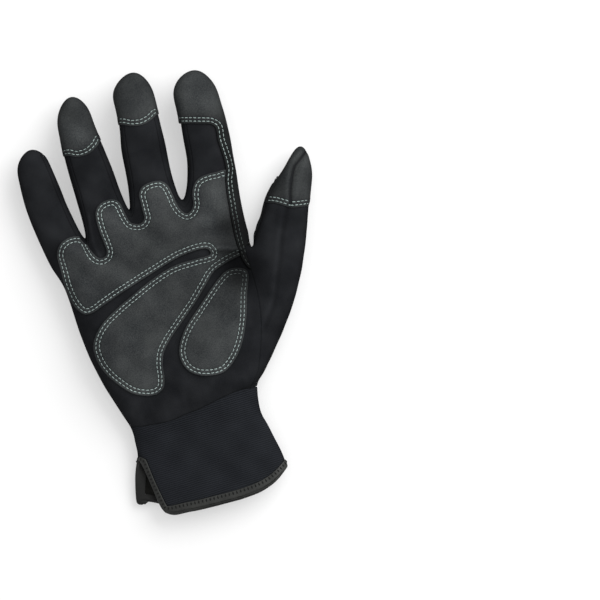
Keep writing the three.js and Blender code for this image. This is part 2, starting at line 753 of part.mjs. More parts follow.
// How a panel's border point moves inwards, for each millimetre that its seams do.
function seamPull(corner, fan, ownFaces) {
  const sharpest = 0.4;
  const inward = [];
  for (const face of fan) {
    const place = face.corners.indexOf(corner);
    const next = face.corners[(place + 1) % 4];
    const last = face.corners[(place + 3) % 4];
    for (const [from, to] of [[corner, next], [last, corner]]) {
      const across = facesRound[corner].find((other) => other !== face && neighbours(other, from, to));
      if (across && !ownFaces.has(across)) {
        const along = skin.points[to].clone().sub(skin.points[from]);
        inward.push(skinNormals[corner].clone().cross(along).normalize());
      }
    }
  }
  const pull = new THREE.Vector3();
  inward.forEach((side) => pull.add(side));
  if (inward.length === 2) {
    pull.divideScalar(Math.max(1 + inward[0].dot(inward[1]), sharpest));
  }
  return pull;
}

// A closed sheet over some of the skin's faces, from one offset along the normals
// to another. Borders that meet other cloth are pulled back by half the seam gap.
function sheetGeometry(faces, lower, upper, gap) {
  const around = new Map();
  for (const face of faces) {
    for (const corner of face.corners) {
      around.set(corner, [...(around.get(corner) ?? []), face]);
    }
  }
  const positions = [];
  const places = new Map();
  const ownFaces = new Set(faces);
  for (const [corner, own] of around) {
    for (const fan of fansRound(corner, own)) {
      const pull = seamPull(corner, fan, ownFaces).multiplyScalar(gap / 2);
      const index = positions.length / 6;
      for (const offset of [upper, lower]) {
        const point = skin.points[corner].clone().addScaledVector(skinNormals[corner], offset).add(pull);
        positions.push(point.x, point.y, point.z);
      }
      fan.forEach((face) => places.set(`${faces.indexOf(face)}_${corner}`, index));
    }
  }
  const triangles = [];
  const edges = new Map();
  faces.forEach((face, number) => {
    const quad = face.corners.map((corner) => places.get(`${number}_${corner}`));
    const [a, b, c, d] = quad;
    triangles.push(2 * a, 2 * b, 2 * c, 2 * a, 2 * c, 2 * d);
    triangles.push(2 * c + 1, 2 * b + 1, 2 * a + 1, 2 * d + 1, 2 * c + 1, 2 * a + 1);
    quad.forEach((from, place) => {
      const to = quad[(place + 1) % 4];
      if (edges.has(`${to}_${from}`)) {
        edges.delete(`${to}_${from}`);
      } else {
        edges.set(`${from}_${to}`, [from, to]);
      }
    });
  });
  for (const [from, to] of edges.values()) {
    triangles.push(2 * from, 2 * from + 1, 2 * to + 1, 2 * from, 2 * to + 1, 2 * to);
  }
  const geometry = new THREE.BufferGeometry();
  geometry.setAttribute("position", new THREE.Float32BufferAttribute(positions, 3));
  geometry.setIndex(triangles);
  return geometry;
}

function toSolid(geometry) {
  const bare = geometry.index ? geometry.clone() : geometry;
  bare.deleteAttribute("normal");
  bare.deleteAttribute("uv");
  const merged = mergeVertices(bare, 1e-4);
  return new wasm.Manifold(
    new wasm.Mesh({
      numProp: 3,
      vertProperties: new Float32Array(merged.attributes.position.array),
      triVerts: new Uint32Array(merged.index.array),
    }),
  );
}

function fromSolid(solid) {
  const mesh = solid.getMesh();
  const geometry = new THREE.BufferGeometry();
  geometry.setAttribute("position", new THREE.BufferAttribute(mesh.vertProperties, 3));
  geometry.setIndex(new THREE.BufferAttribute(mesh.triVerts, 1));
  return geometry;
}

// A closed outline through corners, each rounded by its own radius.
function roundedShape(corners) {
  const longestRounding = 0.48;
  const shape = new THREE.Shape();
  corners.forEach(({ point, radius }, index) => {
    const before = corners[(index + corners.length - 1) % corners.length].point;
    const after = corners[(index + 1) % corners.length].point;
    const toBefore = before.clone().sub(point);
    const toAfter = after.clone().sub(point);
    const startAway = Math.min(radius, toBefore.length() * longestRounding);
    const endAway = Math.min(radius, toAfter.length() * longestRounding);
    const start = point.clone().add(toBefore.setLength(startAway));
    const end = point.clone().add(toAfter.setLength(endAway));
    if (index === 0) {
      shape.moveTo(start.x, start.y);
    } else {
      shape.lineTo(start.x, start.y);
    }
    shape.quadraticCurveTo(point.x, point.y, end.x, end.y);
  });
  shape.closePath();
  return shape;
}

function outlineCorners(outline, place, unit) {
  return outline.map((corner) => ({ point: place(corner), radius: corner.r * unit }));
}

function prism(corners, bottom, top) {
  const curveSegments = 2;
  const geometry = new THREE.ExtrudeGeometry(roundedShape(corners), {
    depth: top - bottom, bevelEnabled: false, curveSegments,
  });
  geometry.translate(0, 0, bottom);
  return toSolid(geometry);
}

// The height that parts the palm side of a finger from its back.
const sideSeamHeight = fingerLift + fingerDepth / 2;
const cutTop = 2 * palmDepth;
const cutBottom = -palmDepth;

function facesInside(outlineBox, wanted) {
  return skin.faces.filter((face) => {
    const inside = face.corners.some((corner) => outlineBox.containsPoint(
      new THREE.Vector2(skin.points[corner].x, skin.points[corner].y),
    ));
    return inside && wanted(face);
  });
}

function outlineBox(corners) {
  const margin = 0.12 * palmWidth;
  const box = new THREE.Box2().setFromPoints(corners.map((corner) => corner.point));
  return box.expandByScalar(margin);
}

function facesUp(face) {
  const lean = 0.15;
  return face.corners.every((corner) => skinNormals[corner].z > lean);
}

function facesDown(face) {
  const lean = 0.15;
  return face.corners.every((corner) => skinNormals[corner].z < -lean);
}

// A patch sewn on one side: a sheet over the skin, cut to its outline.
function patchGeometry(corners, wanted, thickness) {
  const faces = facesInside(outlineBox(corners), wanted);
  const sheet = toSolid(sheetGeometry(faces, padClearance, padClearance + thickness, 0));
  return fromSolid(sheet.intersect(prism(corners, cutBottom, cutTop)));
}

// A cap or guard round a finger, cut by one outline on the palm side and another
// on the back.
function wrapGeometry(palmCorners, backCorners, wanted) {
  const box = outlineBox([...palmCorners, ...backCorners]);
  const sheet = toSolid(sheetGeometry(facesInside(box, wanted), padClearance, padClearance + capThickness, 0));
  const cutter = prism(palmCorners, sideSeamHeight, cutTop).add(prism(backCorners, cutBottom, sideSeamHeight));
  return fromSolid(sheet.intersect(cutter));
}

const glove = new THREE.Group();
glove.name = "mechanic_glove";

function addPiece(name, geometry, finish) {
  const material = new THREE.MeshStandardMaterial({ ...colours[finish], metalness: 0 });
  const mesh = new THREE.Mesh(geometry, material);
  mesh.name = name;
  glove.add(mesh);
}

function addPanel(name, finish, proud = 0, gap = seamGap) {
  const faces = skin.faces.filter((face) => face.panel === name);
  addPiece(name, sheetGeometry(faces, -clothWall - proud, proud, gap), finish);
}

// Whether a face lies along one finger's own line.
function nearFinger(finger) {
  const root = palmPlace({ u: finger.rootU, v: finger.rootV });
  const slope = Math.tan(finger.lean * degrees);
  const reach = 0.75 * finger.width;
  return (face) => {
    const centre = faceCentre(face);
    const middle = root.x - slope * (centre.y - root.y);
    return Math.abs(centre.x - middle) < reach;
  };
}

function addSkinPanels() {
  addPanel("palm_panel", "suede");
  addPanel("back_panel", "knit");
  crotches.forEach((crotch, index) => addPanel(fourchetteName(index), "side"));
  addPanel("thumb_panel", "suede");
  addPanel("thumb_back", "knit");
  addPanel("cuff_panel", "knit");
  addPanel("cuff_binding", "binding", bindingProud, bindingGap);
}

function addPads() {
  const palmPad = outlineCorners(palmPadOutline, palmPlace, palmWidth);
  const heelPad = outlineCorners(heelPadOutline, palmPlace, palmWidth);
  addPiece("palm_pad", patchGeometry(palmPad, facesUp, padThickness), "pad");
  addPiece("heel_pad", patchGeometry(heelPad, facesUp, padThickness), "pad");
}

function addWrap(name, outline, place, unit, wanted) {
  const palmCorners = outlineCorners(outline.palm, place, unit);
  const backCorners = outlineCorners(outline.back, place, unit);
  addPiece(name, wrapGeometry(palmCorners, backCorners, wanted), "pad");
}

function addCaps() {
  addWrap("ring_tip", ringTipOutline, palmPlace, palmWidth, nearFinger(fingers[1]));
  addWrap("middle_tip", middleTipOutline, palmPlace, palmWidth, nearFinger(fingers[2]));
  addWrap("index_guard", indexGuardOutline, palmPlace, palmWidth, nearFinger(fingers[3]));
  const onThumb = (face) => face.panel.startsWith("thumb");
  addWrap("thumb_tip", thumbTipOutline, thumbPlace, thumbLength, onThumb);
  const patch = outlineCorners(crotchPatchOutline, thumbPlace, thumbLength);
  const underThumb = (face) => onThumb(face) && facesDown(face);
  addPiece("thumb_crotch_patch", patchGeometry(patch, underThumb, padThickness), "pad");
}

function addLabel() {
  const centre = cuffPlace(labelPlace);
  const slant = labelPlace.slant * degrees;
  const signs = [[-1, -1], [1, -1], [1, 1], [-1, 1]];
  const corners = signs.map(([across, up]) => {
    const corner = new THREE.Vector2((across * labelLength) / 2, (up * labelHeight) / 2);
    return { point: corner.rotateAround(new THREE.Vector2(), -slant).add(centre), radius: 1 };
  });
  addPiece("label_patch", patchGeometry(corners, facesDown, labelThickness), "label");
}

addSkinPanels();
addPads();
addCaps();
addLabel();

// The origin is the middle of the glove's footprint, on the ground.
const bounds = new THREE.Box3().setFromObject(glove);
const middle = bounds.getCenter(new THREE.Vector3());
glove.position.set(-middle.x, -middle.y, -bounds.min.z);
glove.updateMatrixWorld(true);

export default glove;
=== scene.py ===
"""A mechanic's glove for the right hand, lying on its back with the palm up.

The whole hand is one smooth skin through the pattern's sections. Every cloth panel
is a piece of that skin with its own wall and rounded seam edges. The sewn pads, caps
and patches lie on it with their stitch rows pressed in, and the stitches follow them.
Lengths are millimetres until a mesh is made, which is in metres.
"""

from __future__ import annotations

import logging
import math
from dataclasses import dataclass, field
from enum import Enum
from typing import Callable, Iterable, Sequence

import bpy
import numpy as np
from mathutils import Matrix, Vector
from mathutils.kdtree import KDTree

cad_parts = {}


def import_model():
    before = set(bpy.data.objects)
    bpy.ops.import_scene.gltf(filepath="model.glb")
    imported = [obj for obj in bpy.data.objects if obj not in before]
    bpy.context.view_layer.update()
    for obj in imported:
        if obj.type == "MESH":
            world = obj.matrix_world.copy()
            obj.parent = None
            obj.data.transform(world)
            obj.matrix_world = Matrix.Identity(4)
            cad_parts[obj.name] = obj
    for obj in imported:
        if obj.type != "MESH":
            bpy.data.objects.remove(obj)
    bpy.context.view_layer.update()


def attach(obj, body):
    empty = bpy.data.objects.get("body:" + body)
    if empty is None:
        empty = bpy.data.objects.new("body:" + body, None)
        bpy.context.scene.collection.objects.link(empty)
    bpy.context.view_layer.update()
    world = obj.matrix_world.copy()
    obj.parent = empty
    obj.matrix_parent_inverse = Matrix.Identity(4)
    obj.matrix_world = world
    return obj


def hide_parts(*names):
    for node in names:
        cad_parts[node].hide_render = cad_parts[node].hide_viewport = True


log = logging.getLogger("mechanic_glove")

MM = 0.001
BODY = "root"
# The point attribute that scales each piece's colour: painted shade and painted highlights, with some
# random wear.
TONE = "tone"
# The middle of the wrist seam in the frame, where the pattern's own numbers start.
WRIST_SEAM = np.array([-16.531, -66.624, 0.0])
# Outlines are drawn from the middle of the palm view, this far from the frame's origin.
DRAWING_SHIFT = np.array([-0.03, 0.38])

# How much darker the cloth is down in its seams and stitch rows.
SEAM_SHADE = 0.16
# The slope over which a mark on the palm side fades out.
PALM_SIDE = (-0.1, 0.3)
# Edges that turn by more than this stay crisp.
CRISP_ANGLE = math.radians(50.0)
TINY = 1e-12

Point = tuple[float, float]
Outline = Sequence[Point]
PlaceOf = Callable[[Point], np.ndarray]
Number = np.ndarray | float
Triple = tuple[np.ndarray, np.ndarray, np.ndarray]
Faces = list[tuple[int, ...]]


class Panel(Enum):
    """The cloth pieces that the skin is cut into."""

    PALM = "palm_panel"
    BACK = "back_panel"
    LITTLE_RING = "fourchette_little_ring"
    RING_MIDDLE = "fourchette_ring_middle"
    MIDDLE_INDEX = "fourchette_middle_index"
    THUMB = "thumb_panel"
    THUMB_BACK = "thumb_back"
    CUFF = "cuff_panel"
    BINDING = "cuff_binding"


PANELS = list(Panel)
FOURCHETTES = (Panel.LITTLE_RING, Panel.RING_MIDDLE, Panel.MIDDLE_INDEX)
THUMB_PANELS = (Panel.THUMB, Panel.THUMB_BACK)


def blend(low: Number, high: Number, share: Number) -> Number:
    """The value at a share of the way from low to high."""
    return low + (high - low) * share


def smooth_step(values: np.ndarray, low: float, high: float) -> np.ndarray:
    """0 below low, 1 above high and a smooth rise between them."""
    share = np.clip((values - low) / (high - low), 0.0, 1.0)
    return share * share * (3.0 - 2.0 * share)


def bell(away: np.ndarray, reach: float) -> np.ndarray:
    """1 at a place and a soft fall to 0 round it."""
    return np.exp(-((away / reach) ** 2))


def on_table(points: np.ndarray) -> np.ndarray:
    """The same points, with none below the table."""
    points[:, 2] = np.maximum(points[:, 2], 0.0)
    return points


@dataclass(frozen=True)
class Ring:
    """One section of a finger, in shares of the finger's length and width."""

    along: float
    width: float
    depth: float
    drift: float


@dataclass(frozen=True)
class Finger:
    """One finger: its root in shares of the palm, its lean in degrees and its sections."""

    root: Point
    lean: float
    length: float
    width: float
    depth: float
    rings: tuple[Ring, ...]


@dataclass(frozen=True)
class Row:
    """One section of the palm or the cuff, in shares of its width, length and depth."""

    left: Point
    right: Point
    top: float
    bottom: float
    spread: float = 1.0
    bow: float = 0.0
    gather: float = 0.0
    back_left: Point | None = None
    hem: float | None = None


@dataclass(frozen=True)
class ThumbRing:
    """One section of the thumb, in shares of the thumb's length and depth."""

    centre: Point
    half: float
    turn: float
    bottom: float
    top: float


@dataclass(frozen=True)
class Swell:
    """A soft rise or hollow of the palm, in shares of the palm."""

    place: Point
    spread: float
    rise: float


@dataclass(frozen=True)
class HemLine:
    """How far down one side of the cuff reaches and how it rises to its ends."""

    drop: float
    left_rise: float
    right_rise: float
    left_power: int
    right_power: int

    def height(self, length: float, share: float) -> float:
        """The hem's place along the hand at a share of the cuff's width."""
        rise = self.left_rise * (1 - share) ** self.left_power + self.right_rise * share**self.right_power
        return -length * (self.drop - rise)


@dataclass(frozen=True)
class Pattern:
    """The glove's pattern: its sizes and the tables that its sections come from."""

    palm_width: float = 107
    palm_length: float = 115
    palm_depth: float = 24
    cuff_width: float = 78
    cuff_length: float = 56
    cuff_depth: float = 14.5
    finger_depth: float = 16
    finger_lift: float = 2.7
    finger_curl: float = 3
    thumb_length: float = 86
    thumb_depth: float = 18
    cloth_wall: float = 1.5
    crotch_dip: float = 4.5
    back_crotch_dip: float = 5.2
    gather_depth: float = 1.1
    ring_shoulder: float = 0.76
    palm_squareness: float = 2.8
    side_height: float = 0.46
    knuckle_top: float = 0.86
    knuckle_bottom: float = 0.1
    web_height: float = 0.7
    back_web_height: float = 0.2
    side_inset: float = 0.15
    slit_edge_height: float = 0.72
    fingers: tuple[Finger, ...] = (
        Finger((-0.449, 0.913), 5.9, 56.6, 21.5, 0.94, (
            Ring(0.25, 1.06, 1.0, -0.08), Ring(0.5, 1.02, 0.98, -0.1),
            Ring(0.75, 0.92, 0.92, -0.08), Ring(0.91, 0.7, 0.72, -0.045),
        )),
        Finger((-0.201, 0.961), 2.5, 73.4, 23.6, 1.0, (
            Ring(0.25, 1.05, 1.0, -0.025), Ring(0.49, 1.0, 0.98, -0.05),
            Ring(0.73, 0.84, 0.88, -0.07), Ring(0.9, 0.66, 0.68, -0.04),
        )),
        Finger((0.067, 0.994), -3.6, 74.6, 24.5, 1.03, (
            Ring(0.22, 1.03, 1.0, -0.033), Ring(0.48, 1.0, 0.98, -0.04),
            Ring(0.735, 0.89, 0.88, -0.035), Ring(0.9, 0.77, 0.7, -0.06),
        )),
        Finger((0.36, 0.968), -5.4, 70.2, 26, 1.03, (
            Ring(0.225, 0.98, 1.0, 0.06), Ring(0.475, 0.95, 0.98, 0.06),
            Ring(0.725, 0.88, 0.88, 0.02), Ring(0.9, 0.73, 0.7, -0.025),
        )),
    )
    crotches: tuple[Point, ...] = ((-0.332, 0.923), (-0.073, 1.006), (0.208, 0.989))
    knuckle_left: Point = (-0.564, 0.917)
    knuckle_right: Point = (0.496, 0.957)
    palm_rows: tuple[Row, ...] = (
        Row((-0.54, 0.817), (0.488, 0.826), 0.93, 0.0, 0.1),
        Row((-0.498, 0.678), (0.5, 0.687), 0.97, -0.03, 0.2),
        Row((-0.475, 0.426), (0.51, 0.4), 1.0, -0.03, 0.35),
        Row((-0.41, 0.157), (0.42, 0.095), 0.92, -0.02, 0.5, gather=0.35),
        Row((-0.345, -0.02), (0.353, 0.02), 0.74, 0.05, 0.7, bow=-0.015, gather=1),
    )
    cuff_rows: tuple[Row, ...] = (
        Row((-0.465, -0.21), (0.465, -0.2), 1.0, 0.22, gather=1),
        Row((-0.477, -0.4), (0.498, -0.4), 1.0, 0.22, gather=0.2),
        Row((-0.412, -0.83), (0.548, -0.735), 1.07, 0.15, back_left=(-0.552, -0.735), hem=4.8),
        Row((-0.366, -0.945), (0.545, -0.815), 1.05, 0.13, back_left=(-0.528, -0.79), hem=0.0),
    )
    palm_hem: HemLine = HemLine(1.005, 0.03, 0.19, 8, 7)
    back_hem: HemLine = HemLine(0.96, 0.19, 0.145, 5, 6)
    knuckle_shares: tuple[float, ...] = (0, 0.035, 0.125, 0.235, 0.35, 0.468, 0.59, 0.72, 0.855, 0.965, 1)
    cuff_shares: tuple[float, ...] = (0, 0.06, 0.155, 0.265, 0.38, 0.5, 0.62, 0.735, 0.84, 0.94, 1)
    thumb_crotch: Point = (0.5, 0.687)
    thumb_rings: tuple[ThumbRing, ...] = (
        ThumbRing((0.08, -0.225), 0.275, -80, 0.14, 1.08),
        ThumbRing((0.182, -0.056), 0.22, -68, 0.14, 1.05),
        ThumbRing((0.266, 0.122), 0.176, -57, 0.15, 1.02),
        ThumbRing((0.352, 0.295), 0.119, -41, 0.2, 0.94),
        ThumbRing((0.423, 0.424), 0.078, -27, 0.28, 0.84),
    )
    thumb_tip: tuple[float, float, float] = (0.468, 0.545, 0.57)
    swells: tuple[Swell, ...] = (
        Swell((0.16, 0.32), 0.2, 0.09), Swell((-0.28, 0.33), 0.19, 0.06),
        Swell((-0.03, 0.55), 0.16, -0.08), Swell((-0.05, 0.83), 0.2, 0.05),
    )

    def palm_place(self, place: Point) -> np.ndarray:
        """A place given in shares of the palm."""
        return np.array([place[0] * self.palm_width, place[1] * self.palm_length])

    def cuff_place(self, place: Point) -> np.ndarray:
        """A place given in shares of the cuff."""
        return np.array([place[0] * self.cuff_width, place[1] * self.cuff_length])

    def thumb_place(self, place: Point) -> np.ndarray:
        """A place given in shares of the thumb's length from its crotch."""
        return self.palm_place(self.thumb_crotch) + np.array(place) * self.thumb_length

    def swell_at(self, x: float, y: float) -> float:
        """How far the palm swells at a place."""
        rise = 0.0
        for swell in self.swells:
            centre = self.palm_place(swell.place)
            reach = swell.spread * self.palm_width
            away = (x - centre[0]) ** 2 + (y - centre[1]) ** 2
            rise += swell.rise * self.palm_depth * math.exp(-away / reach**2)
        return rise

    def section_rise(self, share: float) -> float:
        """Height of the palm's section at a share of its width: 0 at the sides, 1 inside."""
        across = abs(2 * share - 1)
        return (1 - across**self.palm_squareness) ** (1 / self.palm_squareness)


class Cage:
    """The coarse net of points round the hand that the smooth skin is drawn through."""

    COLUMNS = 20
    THUMB_COLUMN = 10
    HOLE_TOP = 2
    HOLE_BOTTOM = 4
    RING_ANGLES = (180, 135, 90, 45, 0, -45, -90, -135)
    FITTING_STEPS = 24

    def __init__(self, pattern: Pattern) -> None:
        """Builds the net of the palm, the cuff, the fingers and the thumb.

        Args:
            pattern: the glove's pattern.
        """
        self.pattern = pattern
        self.points: list[tuple[float, float, float]] = []
        self.faces: list[tuple[int, int, int, int]] = []
        self.panels: list[Panel] = []
        knuckles, webs = self._knuckles()
        rows = [knuckles]
        for row in pattern.palm_rows:
            rows.append(self._row(row, pattern.palm_place, pattern.palm_length, pattern.palm_depth))
        for row in pattern.cuff_rows:
            rows.append(self._row(row, pattern.cuff_place, 0.0, pattern.cuff_depth))
        self._body(rows)
        for index in range(len(pattern.fingers)):
            self._finger(index, knuckles, webs)
        self._thumb(rows)
        self._fit()

    def _point(self, x: float, y: float, z: float) -> int:
        """Adds a point and returns its number."""
        self.points.append((float(x), float(y), float(z)))
        return len(self.points) - 1

    def _face(self, panel: Panel, corners: Sequence[int]) -> None:
        """Adds a four-sided face of a panel."""
        self.faces.append(tuple(corners))
        self.panels.append(panel)

    def _share(self, column: int, spread: float) -> float:
        """A column's share across the hand; the back's columns run the other way."""
        place = column if column <= self.THUMB_COLUMN else self.COLUMNS - column
        return blend(self.pattern.knuckle_shares[place], self.pattern.cuff_shares[place], spread)

    def _row(self, row: Row, place: PlaceOf, bow_length: float, depth: float) -> list[int]:
        """Adds one section of the palm or the cuff.

        Args:
            row: the section's table.
            place: turns the row's shares into a place.
            bow_length: what the row's bow is a share of.
            depth: what the row's heights are shares of.

        Returns:
            The numbers of its points by column.
        """
        pattern = self.pattern
        left = place(row.left)
        back_left = place(row.back_left) if row.back_left else left
        right = place(row.right)
        top = row.top * depth
        bottom = row.bottom * depth
        side = blend(bottom, top, pattern.side_height)
        ring = []
        for column in range(self.COLUMNS):
            on_back = column > self.THUMB_COLUMN
            start = back_left if on_back else left
            share = self._share(column, row.spread)
            x = blend(start[0], right[0], share)
            y = blend(start[1], right[1], share) + row.bow * bow_length * 4 * share * (1 - share)
            if row.hem is not None and 0 < share < 1:
                line = pattern.back_hem if on_back else pattern.palm_hem
                y = line.height(pattern.cuff_length, share) + row.hem
            z = side
            if 0 < column < self.THUMB_COLUMN:
                z = blend(side, top, pattern.section_rise(share)) + pattern.swell_at(x, y)
            if on_back:
                fold = row.gather if column % 2 == 0 else -row.gather
                z = blend(side, bottom, pattern.section_rise(share)) + fold * pattern.gather_depth
            ring.append(self._point(x, y, z))
        return ring

    def _knuckles(self) -> tuple[list[int], list[int]]:
        """Adds the top row of the palm with the fingers' crotches in it.

        Returns:
            The row's points by column, and the middle point of each web.
        """
        pattern = self.pattern
        left = pattern.palm_place(pattern.knuckle_left)
        right = pattern.palm_place(pattern.knuckle_right)
        top = pattern.palm_depth * pattern.knuckle_top
        bottom = pattern.palm_depth * pattern.knuckle_bottom
        side = blend(bottom, top, pattern.side_height)
        web = pattern.palm_depth * pattern.web_height
        back_web = pattern.palm_depth * pattern.back_web_height
        # Each place: x, y, height on the palm side, y and height on the back.
        places = [(left[0], left[1], side, left[1], side)]
        crotches = [pattern.palm_place(crotch) for crotch in pattern.crotches]
        last = len(pattern.fingers) - 1
        for index, finger in enumerate(pattern.fingers):
            root = pattern.palm_place(finger.root)
            inset = pattern.side_inset * finger.width
            if index == 0:
                places.append((left[0] + inset, root[1], web, root[1], back_web))
            places.append((root[0], root[1], top + pattern.swell_at(*root), root[1], bottom))
            if index < last:
                x, y = crotches[index]
                places.append((x, y - pattern.crotch_dip, web, y - pattern.back_crotch_dip, back_web))
            else:
                places.append((right[0] - inset, root[1], web, root[1], back_web))
        places.append((right[0], right[1], side, right[1], side))
        row = [self._point(x, y, z) for x, y, z, _, _ in places]
        row += [self._point(x, y, z) for x, _, _, y, z in reversed(places[1:-1])]
        return row, [self._point(x, y, side) for x, y in crotches]

    def _body_panel(self, row: int, column: int, last_row: int) -> Panel:
        """The panel that a face of the palm or the cuff belongs to."""
        seam_row = len(self.pattern.palm_rows)
        slit_row = seam_row + 2
        on_palm = column < self.THUMB_COLUMN
        if row == last_row - 1:
            return Panel.BINDING
        if row >= slit_row and column in (0, self.COLUMNS - 1):
            return Panel.BINDING
        if row >= seam_row:
            return Panel.CUFF if column <= self.THUMB_COLUMN else Panel.BACK
        if row == self.HOLE_BOTTOM and column == self.THUMB_COLUMN - 1:
            return Panel.THUMB
        if row == self.HOLE_BOTTOM and column == self.THUMB_COLUMN:
            return Panel.THUMB_BACK
        return Panel.PALM if on_palm else Panel.BACK

    def _body(self, rows: list[list[int]]) -> None:
        """Joins the rows; below the slit's top the back has its own left end."""
        pattern = self.pattern
        back_ends: dict[int, int] = {}
        for index, row in enumerate(pattern.cuff_rows):
            if row.back_left:
                level = len(pattern.palm_rows) + 1 + index
                x, y = pattern.cuff_place(row.back_left)
                back_ends[level] = self._point(x, y, row.bottom * pattern.cuff_depth + pattern.cloth_wall)
                end = rows[level][0]
                lifted = pattern.slit_edge_height * row.top * pattern.cuff_depth
                self.points[end] = (*self.points[end][:2], lifted)
        last_row = len(rows) - 1
        for row in range(last_row):
            for column in range(self.COLUMNS):
                in_hole = self.HOLE_TOP <= row < self.HOLE_BOTTOM
                if in_hole and column in (self.THUMB_COLUMN - 1, self.THUMB_COLUMN):
                    continue
                following = (column + 1) % self.COLUMNS
                upper, lower = rows[row], rows[row + 1]
                corners = [upper[column], lower[column], lower[following], upper[following]]
                if column == self.COLUMNS - 1:
                    corners[2] = back_ends.get(row + 1, corners[2])
                    corners[3] = back_ends.get(row, corners[3])
                self._face(self._body_panel(row, column, last_row), corners)

    def _ring(
        self, centre: np.ndarray, across: np.ndarray, half: float, bottom: float, top: float
    ) -> list[int]:
        """Adds a ring of eight points round a finger.

        Args:
            centre: the ring's middle, seen from above.
            across: the direction of its width.
            half: half its width.
            bottom: its lowest height.
            top: its highest.

        Returns:
            The numbers of its points.
        """
        ring = []
        middle = (bottom + top) / 2
        shoulder = self.pattern.ring_shoulder
        for angle in self.RING_ANGLES:
            sideways, upward = (round(turn(math.radians(angle)), 3) for turn in (math.cos, math.sin))
            if angle % 90 != 0:
                sideways, upward = shoulder * np.sign(sideways), shoulder * np.sign(upward)
            place = centre + across * (sideways * half)
            ring.append(self._point(place[0], place[1], middle + upward * (top - middle)))
        return ring

    def _join(self, ring: list[int], following: list[int], panel_at: Callable[[int], Panel]) -> None:
        """Joins two rings of a finger."""
        for side in range(len(ring)):
            after = (side + 1) % len(ring)
            self._face(panel_at(side), [ring[side], ring[after], following[after], following[side]])

    def _close_tip(self, ring: list[int], tip: int, palm: Panel, back: Panel) -> None:
        """Closes a fingertip round its last point."""
        for side in range(0, len(ring), 2):
            panel = palm if side < len(ring) / 2 else back
            self._face(panel, [ring[side], ring[side + 1], ring[(side + 2) % len(ring)], tip])

    def _finger_panel(self, index: int, side: int) -> Panel:
        """The panel that one side of a finger belongs to."""
        if side in (0, 7) and index > 0:
            return FOURCHETTES[index - 1]
        if side in (3, 4) and index < len(self.pattern.fingers) - 1:
            return FOURCHETTES[index]
        return Panel.PALM if side < 4 else Panel.BACK

    def _finger(self, index: int, row: list[int], webs: list[int]) -> None:
        """Adds one finger on the knuckle line."""
        pattern = self.pattern
        finger = pattern.fingers[index]
        first = 1 + 2 * index
        lean = math.radians(finger.lean)
        root = pattern.palm_place(finger.root)
        axis = np.array([-math.sin(lean), math.cos(lean)])
        across = np.array([axis[1], -axis[0]])
        left_side = row[0] if index == 0 else webs[index - 1]
        right_side = row[self.THUMB_COLUMN] if index == len(webs) else webs[index]
        ring = [left_side, row[first], row[first + 1], row[first + 2], right_side]
        ring += [row[self.COLUMNS - first - step] for step in (2, 1, 0)]
        depth = pattern.finger_depth * finger.depth
        for section in finger.rings:
            centre = root + axis * section.along * finger.length + across * section.drift * finger.width
            half = section.width * finger.width / 2
            middle = pattern.finger_lift + depth / 2 + pattern.finger_curl * section.along**2
            reach = section.depth * depth / 2
            following = self._ring(centre, across, half, middle - reach, middle + reach)
            self._join(ring, following, lambda side: self._finger_panel(index, side))
            ring = following
        end = root + axis * finger.length
        tip = self._point(end[0], end[1], pattern.finger_lift + depth / 2 + pattern.finger_curl)
        self._close_tip(ring, tip, Panel.PALM, Panel.BACK)

    def _thumb(self, rows: list[list[int]]) -> None:
        """Adds the thumb on the hole in the palm's side."""
        pattern = self.pattern
        column = self.THUMB_COLUMN
        levels = list(range(self.HOLE_TOP, self.HOLE_BOTTOM + 1))
        ring = [rows[self.HOLE_TOP][column]]
        ring += [rows[level][column - 1] for level in levels]
        ring.append(rows[self.HOLE_BOTTOM][column])
        ring += [rows[level][column + 1] for level in reversed(levels)]
        for section in pattern.thumb_rings:
            turn = math.radians(section.turn)
            across = np.array([math.cos(turn), math.sin(turn)])
            centre = pattern.thumb_place(section.centre)
            half = section.half * pattern.thumb_length
            bottom = section.bottom * pattern.thumb_depth
            following = self._ring(centre, across, half, bottom, section.top * pattern.thumb_depth)
            self._join(ring, following, lambda side: Panel.THUMB if side < 4 else Panel.THUMB_BACK)
            ring = following
        end = pattern.thumb_place(pattern.thumb_tip[:2])
        tip = self._point(end[0], end[1], pattern.thumb_tip[2] * pattern.thumb_depth)
        self._close_tip(ring, tip, Panel.THUMB, Panel.THUMB_BACK)

    def _fit(self) -> None:
        """Moves the net until the smooth surface runs through the table places."""
        count = len(self.points)
        edges: list[dict[int, int]] = [{} for _ in range(count)]
        across: list[list[int]] = [[] for _ in range(count)]
        for corners in self.faces:
            for place, corner in enumerate(corners):
                across[corner].append(corners[(place + 2) % 4])
                for other in (corners[(place + 1) % 4], corners[(place + 3) % 4]):
                    edges[corner][other] = edges[corner].get(other, 0) + 1
        limit = np.zeros((count, count))
        for index in range(count):
            ends = [other for other, used in edges[index].items() if used == 1]
            valence = len(edges[index])
            if valence == 0:
                limit[index, index] = 1
                continue
            if len(ends) == 2:
                limit[index, index] = 4 / 6
                limit[index, ends] = 1 / 6
                continue
            total = valence * (valence + 5)
            limit[index, index] = valence**2 / total
            for other in edges[index]:
                limit[index, other] += 4 / total
            for other in across[index]:
                limit[index, other] += 1 / total
        targets = np.array(self.points)
        fitted = targets.copy()
        for _ in range(self.FITTING_STEPS):
            fitted += targets - limit @ fitted
        self.fitted = fitted + WRIST_SEAM


def point_normals(points: np.ndarray, quads: np.ndarray) -> np.ndarray:
    """Unit normals of a net of quads at its points."""
    corner = points[quads]
    normal = np.cross(corner[:, 2] - corner[:, 0], corner[:, 3] - corner[:, 1])
    normals = np.zeros_like(points)
    for place in range(4):
        np.add.at(normals, quads[:, place], normal)
    length = np.linalg.norm(normals, axis=1, keepdims=True)
    return normals / np.maximum(length, TINY)


